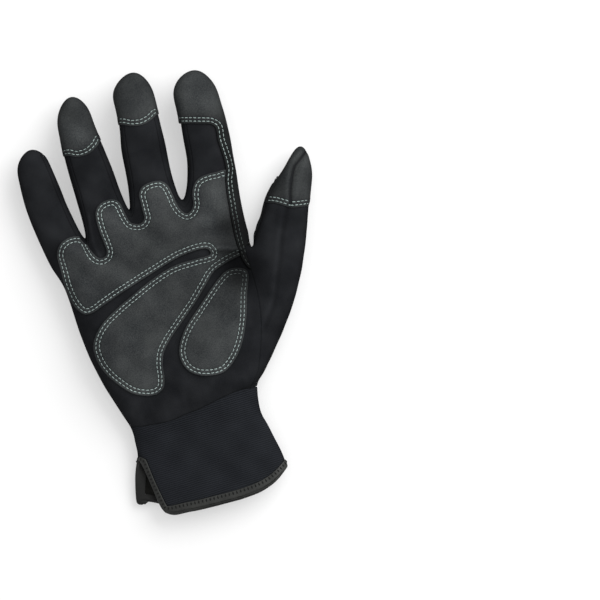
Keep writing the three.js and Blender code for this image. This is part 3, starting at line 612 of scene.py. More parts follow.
class Skin:
    """The glove's smooth outer surface at one fineness, as arrays."""

    def __init__(self, cage: Cage, levels: int) -> None:
        """Subdivides the net and reads the smooth surface back.

        Args:
            cage: the fitted net.
            levels: how many times each face is divided.
        """
        mesh = bpy.data.meshes.new("skin")
        mesh.from_pydata([tuple(point) for point in cage.fitted], [], cage.faces)
        numbers = mesh.attributes.new("panel", "INT", "FACE")
        numbers.data.foreach_set("value", [PANELS.index(panel) for panel in cage.panels])
        skin = bpy.data.objects.new("skin", mesh)
        bpy.context.scene.collection.objects.link(skin)
        select_only(skin)
        divide = skin.modifiers.new("smooth", "SUBSURF")
        divide.levels = divide.render_levels = levels
        bpy.ops.object.modifier_apply(modifier=divide.name)
        mesh = skin.data
        self.points = np.empty(len(mesh.vertices) * 3)
        mesh.vertices.foreach_get("co", self.points)
        self.points = self.points.reshape(-1, 3)
        corners = np.empty(len(mesh.loops), dtype=np.int32)
        mesh.loops.foreach_get("vertex_index", corners)
        self.quads = corners.reshape(-1, 4)
        self.panel = np.empty(len(mesh.polygons), dtype=np.int32)
        mesh.attributes["panel"].data.foreach_get("value", self.panel)
        bpy.data.objects.remove(skin)
        bpy.data.meshes.remove(mesh)
        self.points = on_table(self.points)
        self.normals = point_normals(self.points, self.quads)
        self.centres = self.points[self.quads].mean(axis=1)

    def faces_of(self, panels: Iterable[Panel]) -> np.ndarray:
        """Whether each face belongs to one of the panels."""
        return np.isin(self.panel, [PANELS.index(panel) for panel in panels])


def select_only(piece: bpy.types.Object) -> None:
    """Makes a piece the only selected and the active one."""
    bpy.ops.object.select_all(action="DESELECT")
    piece.select_set(True)
    bpy.context.view_layer.objects.active = piece


def rounded_line(corners: Outline, closed: bool, spacing: float = 0.4) -> np.ndarray:
    """A smooth line through corners.

    Args:
        corners: places that the line runs through.
        closed: whether it returns to its first corner.
        spacing: the distance between its points.

    Returns:
        The line's points, in the frame.
    """
    places = np.array(corners, dtype=float) + DRAWING_SHIFT
    if closed:
        padded = np.vstack([places[-1:], places, places[:2]])
    else:
        padded = np.vstack([2 * places[0] - places[1], places, 2 * places[-1] - places[-2]])
    line = []
    for before, start, end, after in zip(padded, padded[1:], padded[2:], padded[3:]):
        gap = np.linalg.norm(end - start)
        start_slope = (end - before) / (np.linalg.norm(start - before) + gap)
        end_slope = (after - start) / (np.linalg.norm(after - end) + gap)
        steps = max(int(gap / spacing), 1)
        for share in np.arange(steps) / steps:
            square, cube = share**2, share**3
            line.append(
                (2 * cube - 3 * square + 1) * start + (cube - 2 * square + share) * gap * start_slope
                + (3 * square - 2 * cube) * end + (cube - square) * gap * end_slope
            )
    if not closed:
        line.append(places[-1])
    return np.array(line)


# How many places are measured at once.
BLOCK = 4000
# Places further than this from an outline are only known to be outside it.
NEAR_OUTLINE = 8.0


def line_distance(places: np.ndarray, line: np.ndarray, closed: bool) -> np.ndarray:
    """Distance from each place to a line, both flat."""
    starts = line if closed else line[:-1]
    ends = np.roll(line, -1, axis=0) if closed else line[1:]
    spans = ends - starts
    lengths = np.maximum((spans**2).sum(axis=1), TINY)
    nearest = np.empty(len(places))
    for first in range(0, len(places), BLOCK):
        block = places[first:first + BLOCK]
        away = block[:, None] - starts[None]
        share = np.clip((away * spans[None]).sum(axis=2) / lengths, 0, 1)
        gap = away - share[..., None] * spans[None]
        nearest[first:first + BLOCK] = np.sqrt((gap**2).sum(axis=2).min(axis=1))
    return nearest


def height_over(places: np.ndarray, line: np.ndarray) -> np.ndarray:
    """Distance from each place to a line that runs left to right, below zero under it."""
    above = places[:, 1] > np.interp(places[:, 0], line[:, 0], line[:, 1])
    return np.where(above, 1.0, -1.0) * line_distance(places, line, False)


def spaced(path: np.ndarray, normals: np.ndarray, pitch: float) -> Triple:
    """Even places along a path.

    Args:
        path: the path's points.
        normals: the cloth's normal at each of them.
        pitch: about how far apart the places are.

    Returns:
        The places, the path's direction and the cloth's normal at each.
    """
    run = np.append(0, np.cumsum(np.linalg.norm(np.diff(path, axis=0), axis=1)))
    count = int(run[-1] / pitch)
    at = (np.arange(count) + 0.5) * pitch * run[-1] / max(pitch * count, 1e-9)
    reach = pitch / 3
    middle, ahead, behind, up = (
        np.stack([np.interp(places, run, values[:, axis]) for axis in range(3)], axis=1)
        for places, values in ((at, path), (at + reach, path), (at - reach, path), (at, normals))
    )
    return middle, ahead - behind, up


def inside_line(places: np.ndarray, line: np.ndarray) -> np.ndarray:
    """Whether each place lies inside a closed line."""
    inside = np.zeros(len(places), dtype=bool)
    x, y = places[:, 0], places[:, 1]
    for (x0, y0), (x1, y1) in zip(line, np.roll(line, -1, axis=0)):
        if y0 == y1:
            continue
        crosses = (y0 > y) != (y1 > y)
        inside ^= crosses & (x < x0 + (y - y0) / (y1 - y0) * (x1 - x0))
    return inside


def inside_distance(places: np.ndarray, line: np.ndarray) -> np.ndarray:
    """Distance from each place to a closed line, below zero outside it."""
    low, high = line.min(axis=0) - NEAR_OUTLINE, line.max(axis=0) + NEAR_OUTLINE
    near = ((places > low) & (places < high)).all(axis=1)
    distance = np.full(len(places), -NEAR_OUTLINE)
    distance[near] = line_distance(places[near], line, True)
    outside = ~inside_line(places, line)
    distance[outside] = -np.abs(distance[outside])
    return distance


@dataclass(frozen=True)
class Wall:
    """A closed wall of cloth: its outer faces come first, and each point knows its place in the sheet."""

    points: np.ndarray
    faces: Faces
    outer_faces: int
    sources: np.ndarray


class Sheet:
    """Some faces of a skin as their own net, which can be cut along level lines."""

    SNAP = 0.1

    def __init__(self, skin: Skin, wanted: np.ndarray) -> None:
        """Copies the wanted faces.

        Args:
            skin: the smooth surface.
            wanted: whether each of its faces is taken.
        """
        used, renumbered = np.unique(skin.quads[wanted], return_inverse=True)
        self.points = skin.points[used]
        self.normals = skin.normals[used]
        self.quads = renumbered.reshape(-1, 4)
        self.triangles = np.empty((0, 3), dtype=self.quads.dtype)
        self.fields: dict[str, np.ndarray] = {}
        self.settled = np.zeros(len(self.points), dtype=bool)

    @staticmethod
    def _edges_of(faces: np.ndarray) -> np.ndarray:
        """Every side of some faces as a sorted pair of point numbers."""
        sides = [faces[:, [place - 1, place]] for place in range(faces.shape[1])]
        return np.unique(np.sort(np.vstack(sides), axis=1), axis=0)

    def cut(self, name: str, level: float) -> None:
        """Cuts the faces along a level line of a field.

        Args:
            name: the field.
            level: its value on the line.
        """
        values = self.fields[name]
        side = values[self.quads] - level
        split = (side.min(axis=1) < 0) & (side.max(axis=1) > 0)
        halves = self.quads[split]
        self.quads = self.quads[~split]
        self.triangles = np.vstack([self.triangles, halves[:, [0, 1, 2]], halves[:, [0, 2, 3]]])
        if not len(self.triangles):
            return
        edges = self._edges_of(self.triangles)
        crossed, share = self._crossings(edges, values - level)
        near = np.append(crossed[share < self.SNAP, 0], crossed[share > 1 - self.SNAP, 1])
        near = near[~self.settled[near]]
        values[near] = level
        self.settled[near] = True
        crossed, share = self._crossings(edges, values - level)
        if not len(crossed):
            return
        middle = {tuple(edge): len(self.points) + index for index, edge in enumerate(crossed.tolist())}
        start, end = crossed.T
        points = blend(self.points[start], self.points[end], share[:, None])
        self.points = np.vstack([self.points, points])
        normals = blend(self.normals[start], self.normals[end], share[:, None])
        normals /= np.linalg.norm(normals, axis=1, keepdims=True)
        self.normals = np.vstack([self.normals, normals])
        for key, old in self.fields.items():
            new = np.full(len(crossed), level) if key == name else blend(old[start], old[end], share)
            self.fields[key] = np.append(old, new)
        self.settled = np.append(self.settled, np.ones(len(crossed), dtype=bool))
        signs = np.sign(self.fields[name] - level)
        side = signs[self.triangles]
        split = (side.min(axis=1) < 0) & (side.max(axis=1) > 0)
        parts: list[tuple[int, int, int]] = []
        for face in self.triangles[split].tolist():
            self._split(face, signs, middle, parts)
        self.triangles = np.vstack([self.triangles[~split], np.array(parts)])

    @staticmethod
    def _crossings(edges: np.ndarray, heights: np.ndarray) -> tuple[np.ndarray, np.ndarray]:
        """The edges that cross height 0 and the share along each where they do."""
        start, end = heights[edges[:, 0]], heights[edges[:, 1]]
        crossing = start * end < 0
        return edges[crossing], start[crossing] / (start[crossing] - end[crossing])

    @staticmethod
    def _split(
        face: list[int],
        signs: np.ndarray,
        middle: dict[tuple[int, int], int],
        parts: list[tuple[int, int, int]],
    ) -> None:
        """Adds the parts of a triangle on each side of the line that is being cut."""
        own = [signs[corner] for corner in face]
        if 0 in own:
            place = own.index(0)
            on_line, start, end = face[place], face[place - 2], face[place - 1]
            new = middle[(min(start, end), max(start, end))]
            parts += [(on_line, start, new), (on_line, new, end)]
            return
        lone = 1 if sum(own) < 0 else -1
        place = own.index(lone)
        corner, start, end = face[place], face[place - 2], face[place - 1]
        first = middle[(min(corner, start), max(corner, start))]
        second = middle[(min(corner, end), max(corner, end))]
        parts += [(corner, first, second), (first, start, end), (first, end, second)]

    def keep(self, name: str, level: float) -> None:
        """Keeps only the faces on the upper side of a level line that has been cut."""
        values = self.fields[name]
        self.quads, self.triangles = (
            faces[(values[faces].min(axis=1) >= level) & (values[faces].max(axis=1) > level)]
            for faces in (self.quads, self.triangles)
        )

    def level_lines(self, name: str, level: float) -> list[list[int]]:
        """The lines of points along a level that has been cut.

        Args:
            name: the field.
            level: its value on the lines.

        Returns:
            Point numbers along each line, in order.
        """
        values = self.fields[name]
        edges = np.vstack([self._edges_of(faces) for faces in (self.quads, self.triangles) if len(faces)])
        edges = np.unique(edges, axis=0)
        on_line = edges[(values[edges] == level).all(axis=1)]
        links: dict[int, set[int]] = {}
        for start, end in on_line.tolist():
            links.setdefault(start, set()).add(end)
            links.setdefault(end, set()).add(start)
        lines = []
        while links:
            ends = [point for point, others in links.items() if len(others) == 1]
            current = min(ends) if ends else min(links)
            line = [current]
            while current in links:
                following = min(links[current])
                for one, other in ((current, following), (following, current)):
                    links[one].discard(other)
                    if not links[one]:
                        del links[one]
                line.append(following)
                current = following
            lines.append(line)
        return lines

    def shell(self, outer: np.ndarray, inner: np.ndarray) -> Wall:
        """A closed wall between two offsets along the normals.

        Args:
            outer: the outer face's offset at each point.
            inner: the inner face's offset at each point.

        Returns:
            The wall.
        """
        faces = [tuple(face) for net in (self.quads, self.triangles) for face in net.tolist()]
        used = np.unique([corner for face in faces for corner in face])
        number = np.full(len(self.points), -1)
        number[used] = np.arange(len(used))
        faces = [tuple(int(number[corner]) for corner in face) for face in faces]
        count = len(used)
        normals = self.normals[used]
        points = np.vstack([self.points[used] + normals * offset[used, None] for offset in (outer, inner)])
        rim: dict[tuple[int, int], None] = {}
        for face in faces:
            for place, corner in enumerate(face):
                if (face[place], face[place - 1]) in rim:
                    del rim[(face[place], face[place - 1])]
                else:
                    rim[(face[place - 1], corner)] = None
        inside = [tuple(corner + count for corner in reversed(face)) for face in faces]
        sides = [(start, start + count, end + count, end) for start, end in rim]
        return Wall(on_table(points), faces + inside + sides, len(faces), np.append(used, used))


@dataclass(frozen=True)
class Cut:
    """The flat cloth that a piece was cut from, and how it lies in the glove."""

    width: float
    length: float
    area: float
    held: str = "laid"

    def declare(self, piece: bpy.types.Object) -> None:
        """Takes a finished piece and does nothing with it."""


@dataclass(frozen=True)
class Crease:
    """A pressed line or a ridge that runs over the cloth."""

    line: Outline
    width: float
    rise: float
    # Painted shade below 0 in a groove and painted highlight above 0 on a ridge, where the fold loses or
    # catches the light.
    tone: float = 0.0

    def strength(self, points: np.ndarray, normals: np.ndarray) -> np.ndarray:
        """How strong the crease is at each point, from 0 to 1."""
        away = line_distance(points[:, :2], rounded_line(self.line, False, 1.0), False)
        return bell(away, self.width) * smooth_step(normals[:, 2], *PALM_SIDE)


@dataclass(frozen=True)
class Blot:
    """A soft place on the palm side, painted darker as shade or lighter as highlight; some are patchy wear
    too.
    """

    place: Point
    reach: float
    tone: float

    def strength(self, points: np.ndarray, normals: np.ndarray) -> np.ndarray:
        """How strong it is at each point, from 0 to 1."""
        away = np.linalg.norm(points[:, :2] - DRAWING_SHIFT - self.place, axis=1)
        return bell(away, self.reach) * smooth_step(normals[:, 2], *PALM_SIDE)


@dataclass
class Relief:
    """The cloth's folds, gathers and creases: how far its surface moves along its normal."""

    seed: int = 7
    ripple: float = 0.1
    gather: float = 0.62
    gather_place: float = -64.0
    gather_reach: float = 15.0
    gather_on_palm: float = 0.08
    # Painted shade on the steep sides, which turn from the light: the tone at the steepest.
    side_shade: float = 0.5
    wear: float = 0.1
    # Each crease: its line, width, rise and tone; the tone is painted shade in grooves and painted
    # highlight on ridges.
    creases: tuple[Crease, ...] = (
        Crease(
            ((62, 28), (60, 24), (55.5, 14), (51.5, 2), (46.5, -10), (42.5, -21), (33, -35)),
            1.2, -0.35, -0.2,
        ),
        Crease(
            ((60, 31), (58, 26.8), (53.2, 15.5), (49, 3), (44, -10), (40, -20), (31, -33)),
            1.5, 0.3, 0.22,
        ),
        Crease(((-47.2, 51), (-48, 42.6), (-48.2, 33), (-46.5, 27)), 0.8, 0.4, 0.35),
        Crease(((12, 27), (19, 25.5), (27, 28), (31, 33)), 2.6, -0.5, -0.12),
        Crease(((10, 33), (17, 31.5), (26, 35)), 2.4, 0.3, 0.08),
        Crease(((15.5, 16), (21, 15), (26, 13.2), (31, 12)), 0.9, 0.45, 0.8),
        Crease(((15.5, 13.5), (21, 12.8), (26, 11), (31, 9.6)), 1.4, -0.5, -0.35),
    )
    # Painted shade and painted highlights where the pads and folds lose or catch the light, such as the
    # dark slot end, mixed with patchy wear.
    blots: tuple[Blot, ...] = (
        Blot((27, 9), 10, -0.75), Blot((28, 25), 8, -0.68), Blot((19, 33), 9, 0.2),
        Blot((-61, 20), 12, 0.14), Blot((-5, 27), 16, -0.15), Blot((-36, 46), 8, 0.25),
        Blot((-9, 50), 8, 0.3), Blot((21, 48), 8, 0.25), Blot((-42, -44), 11, 0.12),
        Blot((-3, -8), 14, -0.15), Blot((26, -4), 11, -0.72), Blot((1, -44), 10, 0.12),
        Blot((-46, -30), 14, 0.04), Blot((-46, -60), 12, 0.15), Blot((0, -58), 14, 0.12),
        Blot((36, 2), 7, -0.35),
    )
    waves: dict[str, Triple] = field(default_factory=dict)

    def _waves(self, name: str, count: int, low: Sequence[float], high: Sequence[float]) -> Triple:
        """Seeded waves, each with its own direction, length and start.

        Args:
            name: what they are for, which also picks their own seed.
            count: how many there are.
            low: the shortest wave length along each axis.
            high: the longest.

        Returns:
            The waves' vectors, starts and strengths.
        """
        if name not in self.waves:
            random = np.random.default_rng(self.seed + len(name))
            lengths = random.uniform(low, high, (count, 3))
            vectors = 2 * np.pi / lengths * random.choice([-1, 1], (count, 3))
            starts = random.uniform(0, 2 * np.pi, count)
            self.waves[name] = (vectors, starts, random.uniform(0.6, 1, count))
        return self.waves[name]

    def _sum(self, points: np.ndarray, waves: Triple) -> np.ndarray:
        """The waves' height at each point, about -1 to 1."""
        vectors, starts, strengths = waves
        return (np.cos(points @ vectors.T + starts) * strengths).sum(axis=1) / math.sqrt(len(starts))

    def height(self, points: np.ndarray, normals: np.ndarray) -> np.ndarray:
        """How far each point of the cloth is moved along its normal."""
        height = self.ripple * self._sum(points, self._waves("handling", 12, (11, 11, 11), (30, 30, 30)))
        back = smooth_step(-normals[:, 2], 0.1, 0.7)
        window = np.exp(-(((points[:, 1] - self.gather_place) / self.gather_reach) ** 4))
        folds = self._sum(points, self._waves("gathering", 9, (3.4, 18, 60), (6.5, 60, 90)))
        height += window * self.gather * folds * blend(self.gather_on_palm, 1.0, back)
        for crease in self.creases:
            height += crease.rise * crease.strength(points, normals)
        return height

    def tone(self, points: np.ndarray, normals: np.ndarray) -> np.ndarray:
        """How light each point of the cloth is beside its own colour.

        Painted shade darkens the steep sides, such as the fingers' sides, as they turn from the
        light; random wear varies the tone; creases and blots add painted shade and highlights.
        """
        # Painted shade: the steeper the cloth, the darker.
        tone = blend(self.side_shade, 1.0, smooth_step(np.abs(normals[:, 2]), 0.1, 0.97))
        tone *= 1 + self.wear * self._sum(points, self._waves("wear", 8, (16, 16, 16), (45, 45, 45)))
        for mark in (*self.creases, *self.blots):
            tone *= 1 + mark.tone * mark.strength(points, normals)
        return tone


class Signal:
    """A number that changes over a surface, as one output of a shader."""

    def __init__(self, tree: NodeTree, socket: bpy.types.NodeSocket) -> None:
        """Wraps a node's output."""
        self.tree = tree
        self.socket = socket

    def _math(self, operation: str, first: Value, second: Value = None) -> Signal:
        """A Math node on one or two values."""
        inputs = {index: value for index, value in enumerate((first, second)) if value is not None}
        return self.tree.node("ShaderNodeMath", {"operation": operation}, inputs)[0]

    def __add__(self, other: Value) -> Signal:
        """self + other."""
        return self._math("ADD", self, other)

    def __radd__(self, other: Value) -> Signal:
        """other + self."""
        return self._math("ADD", other, self)

    def __sub__(self, other: Value) -> Signal:
        """self - other."""
        return self._math("SUBTRACT", self, other)

    def __rsub__(self, other: Value) -> Signal:
        """other - self."""
        return self._math("SUBTRACT", other, self)

    def __mul__(self, other: Value) -> Signal:
        """self * other."""
        return self._math("MULTIPLY", self, other)

    def __rmul__(self, other: Value) -> Signal:
        """other * self."""
        return self._math("MULTIPLY", other, self)

    def wave(self, pitch: float) -> Signal:
        """A wave of a pitch along self, from 0 to 1."""
        return self._math("SINE", self * (2 * math.pi / pitch)) * 0.5 + 0.5

    def step(self, low: float, high: float) -> Signal:
        """0 below low, 1 above high and a smooth rise between them."""
        settings = {"interpolation_type": "SMOOTHSTEP"}
        return self.tree.node("ShaderNodeMapRange", settings, {0: self, 1: low, 2: high})[0]


Value = Signal | float | tuple | None


class NodeTree:
    """A node tree with one way to add any node."""

    def __init__(self, tree: bpy.types.NodeTree) -> None:
        """Wraps a tree."""
        self.tree = tree

    def node(self, kind: str, settings: dict | None = None, inputs: dict | None = None) -> list[Signal]:
        """Adds a node.

        Args:
            kind: the node's type.
            settings: its properties, set first.
            inputs: values or signals of its inputs by name or number.

        Returns:
            Its outputs.
        """
        made = self.tree.nodes.new(kind)
        for key, value in (settings or {}).items():
            setattr(made, key, value)
        for key, value in (inputs or {}).items():
            self.connect(made.inputs[key], value)
        return [Signal(self, socket) for socket in made.outputs]

    def connect(self, socket: bpy.types.NodeSocket, value: Value) -> None:
        """Gives an input a value or a signal."""
        if isinstance(value, Signal):
            self.tree.links.new(value.socket, socket)
        else:
            socket.default_value = value


class Shader(NodeTree):
    """One finish's node tree round a Principled shader."""

    def __init__(self, name: str) -> None:
        """Makes an empty finish."""
        self.material = bpy.data.materials.new(name)
        self.material.use_nodes = True
        super().__init__(self.material.node_tree)
        self.surface = self.tree.nodes["Principled BSDF"]

    def set(self, **inputs: Value) -> None:
        """Sets inputs of the surface shader; an underscore in a name stands for a space."""
        for key, value in inputs.items():
            self.connect(self.surface.inputs[key.replace("_", " ")], value)

    def place(self) -> tuple[Signal, Signal, Signal, Signal]:
        """The surface point in the frame as a vector and its three numbers, in millimetres."""
        vector = self.node("ShaderNodeTexCoord")[3]
        scaled = self.node("ShaderNodeVectorMath", {"operation": "SCALE"}, {0: vector, "Scale": 1 / MM})[0]
        x, y, z = self.node("ShaderNodeSeparateXYZ", {}, {0: scaled})
        return scaled, x, y, z

    def grain(self, vector: Signal, size: float, detail: float = 2.0, rough: float = 0.5) -> Signal:
        """Soft noise with grains of a size in millimetres, from 0 to 1."""
        inputs = {"Vector": vector, "Scale": 1 / size, "Detail": detail, "Roughness": rough}
        return self.node("ShaderNodeTexNoise", {}, inputs)[0]

    def tint(self, share: Value, low: tuple, high: tuple) -> Signal:
        """A colour between two, by a share, times the piece's tone, which holds painted shade and
        highlights and random wear.
        """
        inputs = {0: share, 6: (*low, 1.0), 7: (*high, 1.0)}
        colour = self.node("ShaderNodeMix", {"data_type": "RGBA"}, inputs)[2]
        tone = self.node("ShaderNodeAttribute", {"attribute_name": TONE})[2]
        return self.node("ShaderNodeVectorMath", {"operation": "SCALE"}, {0: colour, "Scale": tone})[0]

    def bump(self, height: Signal, depth: float) -> Signal:
        """A normal from a height of 0 to 1 that stands for a depth in millimetres."""
        return self.node("ShaderNodeBump", {}, {"Height": height, "Distance": depth * MM})[0]


def shade(code: str) -> tuple[float, ...]:
    """A colour as light amounts, from its two-digit red, green and blue."""
    parts = [int(code[place:place + 2], 16) / 255 for place in (0, 2, 4)]
    return tuple(part / 12.92 if part <= 0.04045 else ((part + 0.055) / 1.055) ** 2.4 for part in parts)


Look = tuple[Signal, Signal, Signal]


@dataclass(frozen=True)
class Finish:
    """A finish that varies between a dark and a light colour; its kinds say how."""

    name: str
    dark: str
    light: str
    bump: float = 0.1
    specular: float = 0.02

    def look(self, shader: Shader) -> Look:
        """The share of the light colour, the roughness and the height for the bump."""
        raise NotImplementedError

    def material(self) -> bpy.types.Material:
        """The finish as a material."""
        shader = Shader(self.name)
        share, roughness, height = self.look(shader)
        shader.set(
            Base_Color=shader.tint(share, shade(self.dark), shade(self.light)),
            Roughness=roughness,
            Specular_IOR_Level=self.specular,
            Normal=shader.bump(height, self.bump),
        )
        return shader.material


@dataclass(frozen=True)
class Suede(Finish):
    """Soft black split leather with a short nap."""

    dark: str = "121315"
    light: str = "1f2022"
    bump: float = 0.12
    nap: float = 0.45
    patch: float = 14.0

    def look(self, shader: Shader) -> Look:
        """The look of a nap with broad patches."""
        vector, *_ = shader.place()
        nap = shader.grain(vector, self.nap, 3.0, 0.6)
        patch = shader.grain(vector, self.patch)
        return (nap * 0.45 + patch * 0.75 - 0.1).step(0.2, 0.8), 0.85 + nap * 0.1, nap


@dataclass(frozen=True)
class PadLeather(Finish):
    """Dark grey grip leather with a fine pebbled grain and pale specks."""

    dark: str = "1b1d1f"
    light: str = "393b3b"
    bump: float = 0.16
    specular: float = 0.04
    grain: float = 0.55
    patch: float = 15.0

    def look(self, shader: Shader) -> Look:
        """The look of pebbles with broad patches."""
        vector, *_ = shader.place()
        grain = shader.grain(vector, self.grain, 2.0, 0.65)
        patch = shader.grain(vector, self.patch, 3.0)
        return (grain * 1.05 + patch * 0.8 - 0.42).step(0.05, 0.95), 0.74 + grain * 0.18, grain


@dataclass(frozen=True)
class RibKnit(Finish):
    """Black stretch knit with fine ribs across the hand."""

    dark: str = "111214"
    light: str = "232529"
    bump: float = 0.3
    pitch: float = 1.15
    loop: float = 0.6
    slant: float = 3.0

    def look(self, shader: Shader) -> Look:
        """The look of slanting ribs of small loops."""
        vector, x, y, _ = shader.place()
        turn = math.radians(self.slant)
        wander = shader.grain(vector, 9.0, 1.0)
        rib = (y * math.cos(turn) - x * math.sin(turn) + wander * 0.5).wave(self.pitch)
        yarn = shader.grain(vector, 0.4)
        patch = shader.grain(vector, 18.0)
        share = (rib * 0.3 + yarn * 0.45 + patch * 0.3).step(0.05, 1.0)
        return share, 0.9 - rib * 0.1, rib * 0.75 + x.wave(self.loop) * rib * 0.25


@dataclass(frozen=True)
class Leatherette(Finish):
    """Smooth bound tape with a fine grain."""

    dark: str = "151615"
    light: str = "292a28"
    specular: float = 0.2

    def look(self, shader: Shader) -> Look:
        """The look of a fine grain with small patches."""
        vector, *_ = shader.place()
        grain = shader.grain(vector, 0.7, 3.0)
        patch = shader.grain(vector, 6.0)
        return (grain * 0.5 + patch * 0.6).step(0.2, 0.9), 0.36 + patch * 0.2, grain


@dataclass(frozen=True)
class MouldedPatch(Finish):
    """A satin moulded patch with a close slanting grain."""

    dark: str = "27282b"
    light: str = "3b3c40"
    bump: float = 0.08
    specular: float = 0.08
    pitch: float = 0.5

    def look(self, shader: Shader) -> Look:
        """The look of two crossing sets of fine lines."""
        vector, x, y, _ = shader.place()
        slant = (x + y).wave(self.pitch)
        cross = (x - y * 0.4).wave(self.pitch * 1.4)
        yarn = shader.grain(vector, 0.5)
        share = (slant * 0.35 + cross * 0.25 + yarn * 0.4).step(0.1, 0.9)
        return share, 0.55 + yarn * 0.1, slant * 0.6 + cross * 0.4


@dataclass(frozen=True)
class Thread(Finish):
    """Twisted sewing thread."""

    dark: str = "687573"
    light: str = "9ca9a6"
    bump: float = 0.05
    specular: float = 0.15
    pitch: float = 0.45

    def look(self, shader: Shader) -> Look:
        """The look of plies wound round each other."""
        vector, x, y, _ = shader.place()
        ply = (x * 1.3 + y).wave(self.pitch)
        fibre = shader.grain(vector, 0.8)
        return (ply * 0.5 + fibre * 0.6).step(0.15, 0.95), 0.6 + fibre * 0.15, ply


class Finishes:
    """Every finish of the glove, each made once."""

    def __init__(self) -> None:
        """Makes the materials."""
        self.suede = Suede("palm_suede").material()
        self.knit = RibKnit("ribbed_back_knit").material()
        self.side = Suede("side_fabric", dark="111214", light="1d1e20", nap=0.3, bump=0.05).material()
        self.lining = Suede("brushed_lining", dark="181817", light="2a2a28", nap=0.6, bump=0.2).material()
        self.pad = PadLeather("grip_pad_leather").material()
        self.binding = Leatherette("binding_tape").material()
        self.label = MouldedPatch("label_patch").material()
        self.thread = Thread("pale_thread").material()
        self.dark_thread = Thread("dark_thread", dark="060606", light="0e0e0d").material()


def make_piece(
    name: str,
    points: np.ndarray,
    faces: Faces,
    materials: Sequence[bpy.types.Material],
    tones: np.ndarray | None = None,
    inner_from: int | None = None,
) -> bpy.types.Object:
    """Makes a piece that rides on the body, from points in millimetres.

    Args:
        name: the piece's name.
        points: its points.
        faces: the corners of each face.
        materials: its finish, and that of its inner side where it has one.
        tones: how light each point is beside the finish.
        inner_from: the number of the first face with the last finish.

    Returns:
        The piece, at the origin.
    """
    mesh = bpy.data.meshes.new(name)
    mesh.from_pydata((points * MM).tolist(), [], faces)
    for material in materials:
        mesh.materials.append(material)
    if inner_from is not None:
        slots = np.zeros(len(faces), dtype=np.int32)
        slots[inner_from:] = len(materials) - 1
        mesh.polygons.foreach_set("material_index", slots)
    tone = mesh.attributes.new(TONE, "FLOAT", "POINT")
    tone.data.foreach_set("value", np.ones(len(points)) if tones is None else tones)
    mesh.validate()
    piece = bpy.data.objects.new(name, mesh)
    bpy.context.scene.collection.objects.link(piece)
    select_only(piece)
    bpy.ops.object.shade_smooth_by_angle(angle=CRISP_ANGLE)
    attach(piece, BODY)
    log.info("%s: %d triangles", name, sum(len(face) - 2 for face in faces))
    return piece


class StitchMould:
    """One stitch of thread, made once and copied along every row."""

    BLUNT = 0.75
    DIP = 0.25

    def __init__(self, length: float, width: float, height: float) -> None:
        """Shapes the stitch from a ball.

        Args:
            length: its length.
            width: its width.
            height: its height.
        """
        bpy.ops.object.select_all(action="DESELECT")
        bpy.ops.mesh.primitive_uv_sphere_add(segments=6, ring_count=6, radius=0.5)
        ball = bpy.context.active_object
        bpy.ops.object.mode_set(mode="EDIT")
        bpy.ops.mesh.select_all(action="SELECT")
        bpy.ops.transform.rotate(value=math.pi / 2, orient_axis="Y", center_override=(0, 0, 0))
        bpy.ops.transform.resize(value=(length, width, height), center_override=(0, 0, 0))
        bpy.ops.object.mode_set(mode="OBJECT")
        points = np.array([vertex.co[:] for vertex in ball.data.vertices])
        # The ends are blunt, as where a thread dips into the cloth.
        share = np.clip(np.abs(points[:, 0]) / (length / 2), 0, 1) ** (1 / self.BLUNT)
        points[:, 2] -= self.DIP * height * share**2
        self.points = points
        self.faces = [tuple(face.vertices) for face in ball.data.polygons]
        bpy.data.objects.remove(ball)

    def row(self, places: np.ndarray, along: np.ndarray, up: np.ndarray) -> tuple[np.ndarray, Faces]:
        """Copies of the stitch.

        Args:
            places: the middle of each copy.
            along: the direction that each lies in.
            up: the cloth's normal at each.

        Returns:
            All their points and faces.
        """
        up = up / np.linalg.norm(up, axis=1, keepdims=True)
        side = np.cross(up, along)
        side /= np.linalg.norm(side, axis=1, keepdims=True)
        points = places[:, None]
        for axis, direction in enumerate((np.cross(side, up), side, up)):
            points = points + self.points[None, :, axis, None] * direction[:, None]
        starts = range(0, len(places) * len(self.points), len(self.points))
        faces = [tuple(corner + start for corner in face) for start in starts for face in self.faces]
        return on_table(points.reshape(-1, 3)), faces


@dataclass
class Seam:
    """How the edge of a cloth piece turns in at its seam."""

    gap: float = 0.06
    drop: float = 0.45
    reach: float = 0.85

    def fall(self, distance: np.ndarray) -> np.ndarray:
        """How far the cloth falls at a distance from the seam."""
        share = np.clip(1 - distance / self.reach, 0, 1)
        return self.drop * (1 - np.sqrt(1 - share**2 * 0.999))


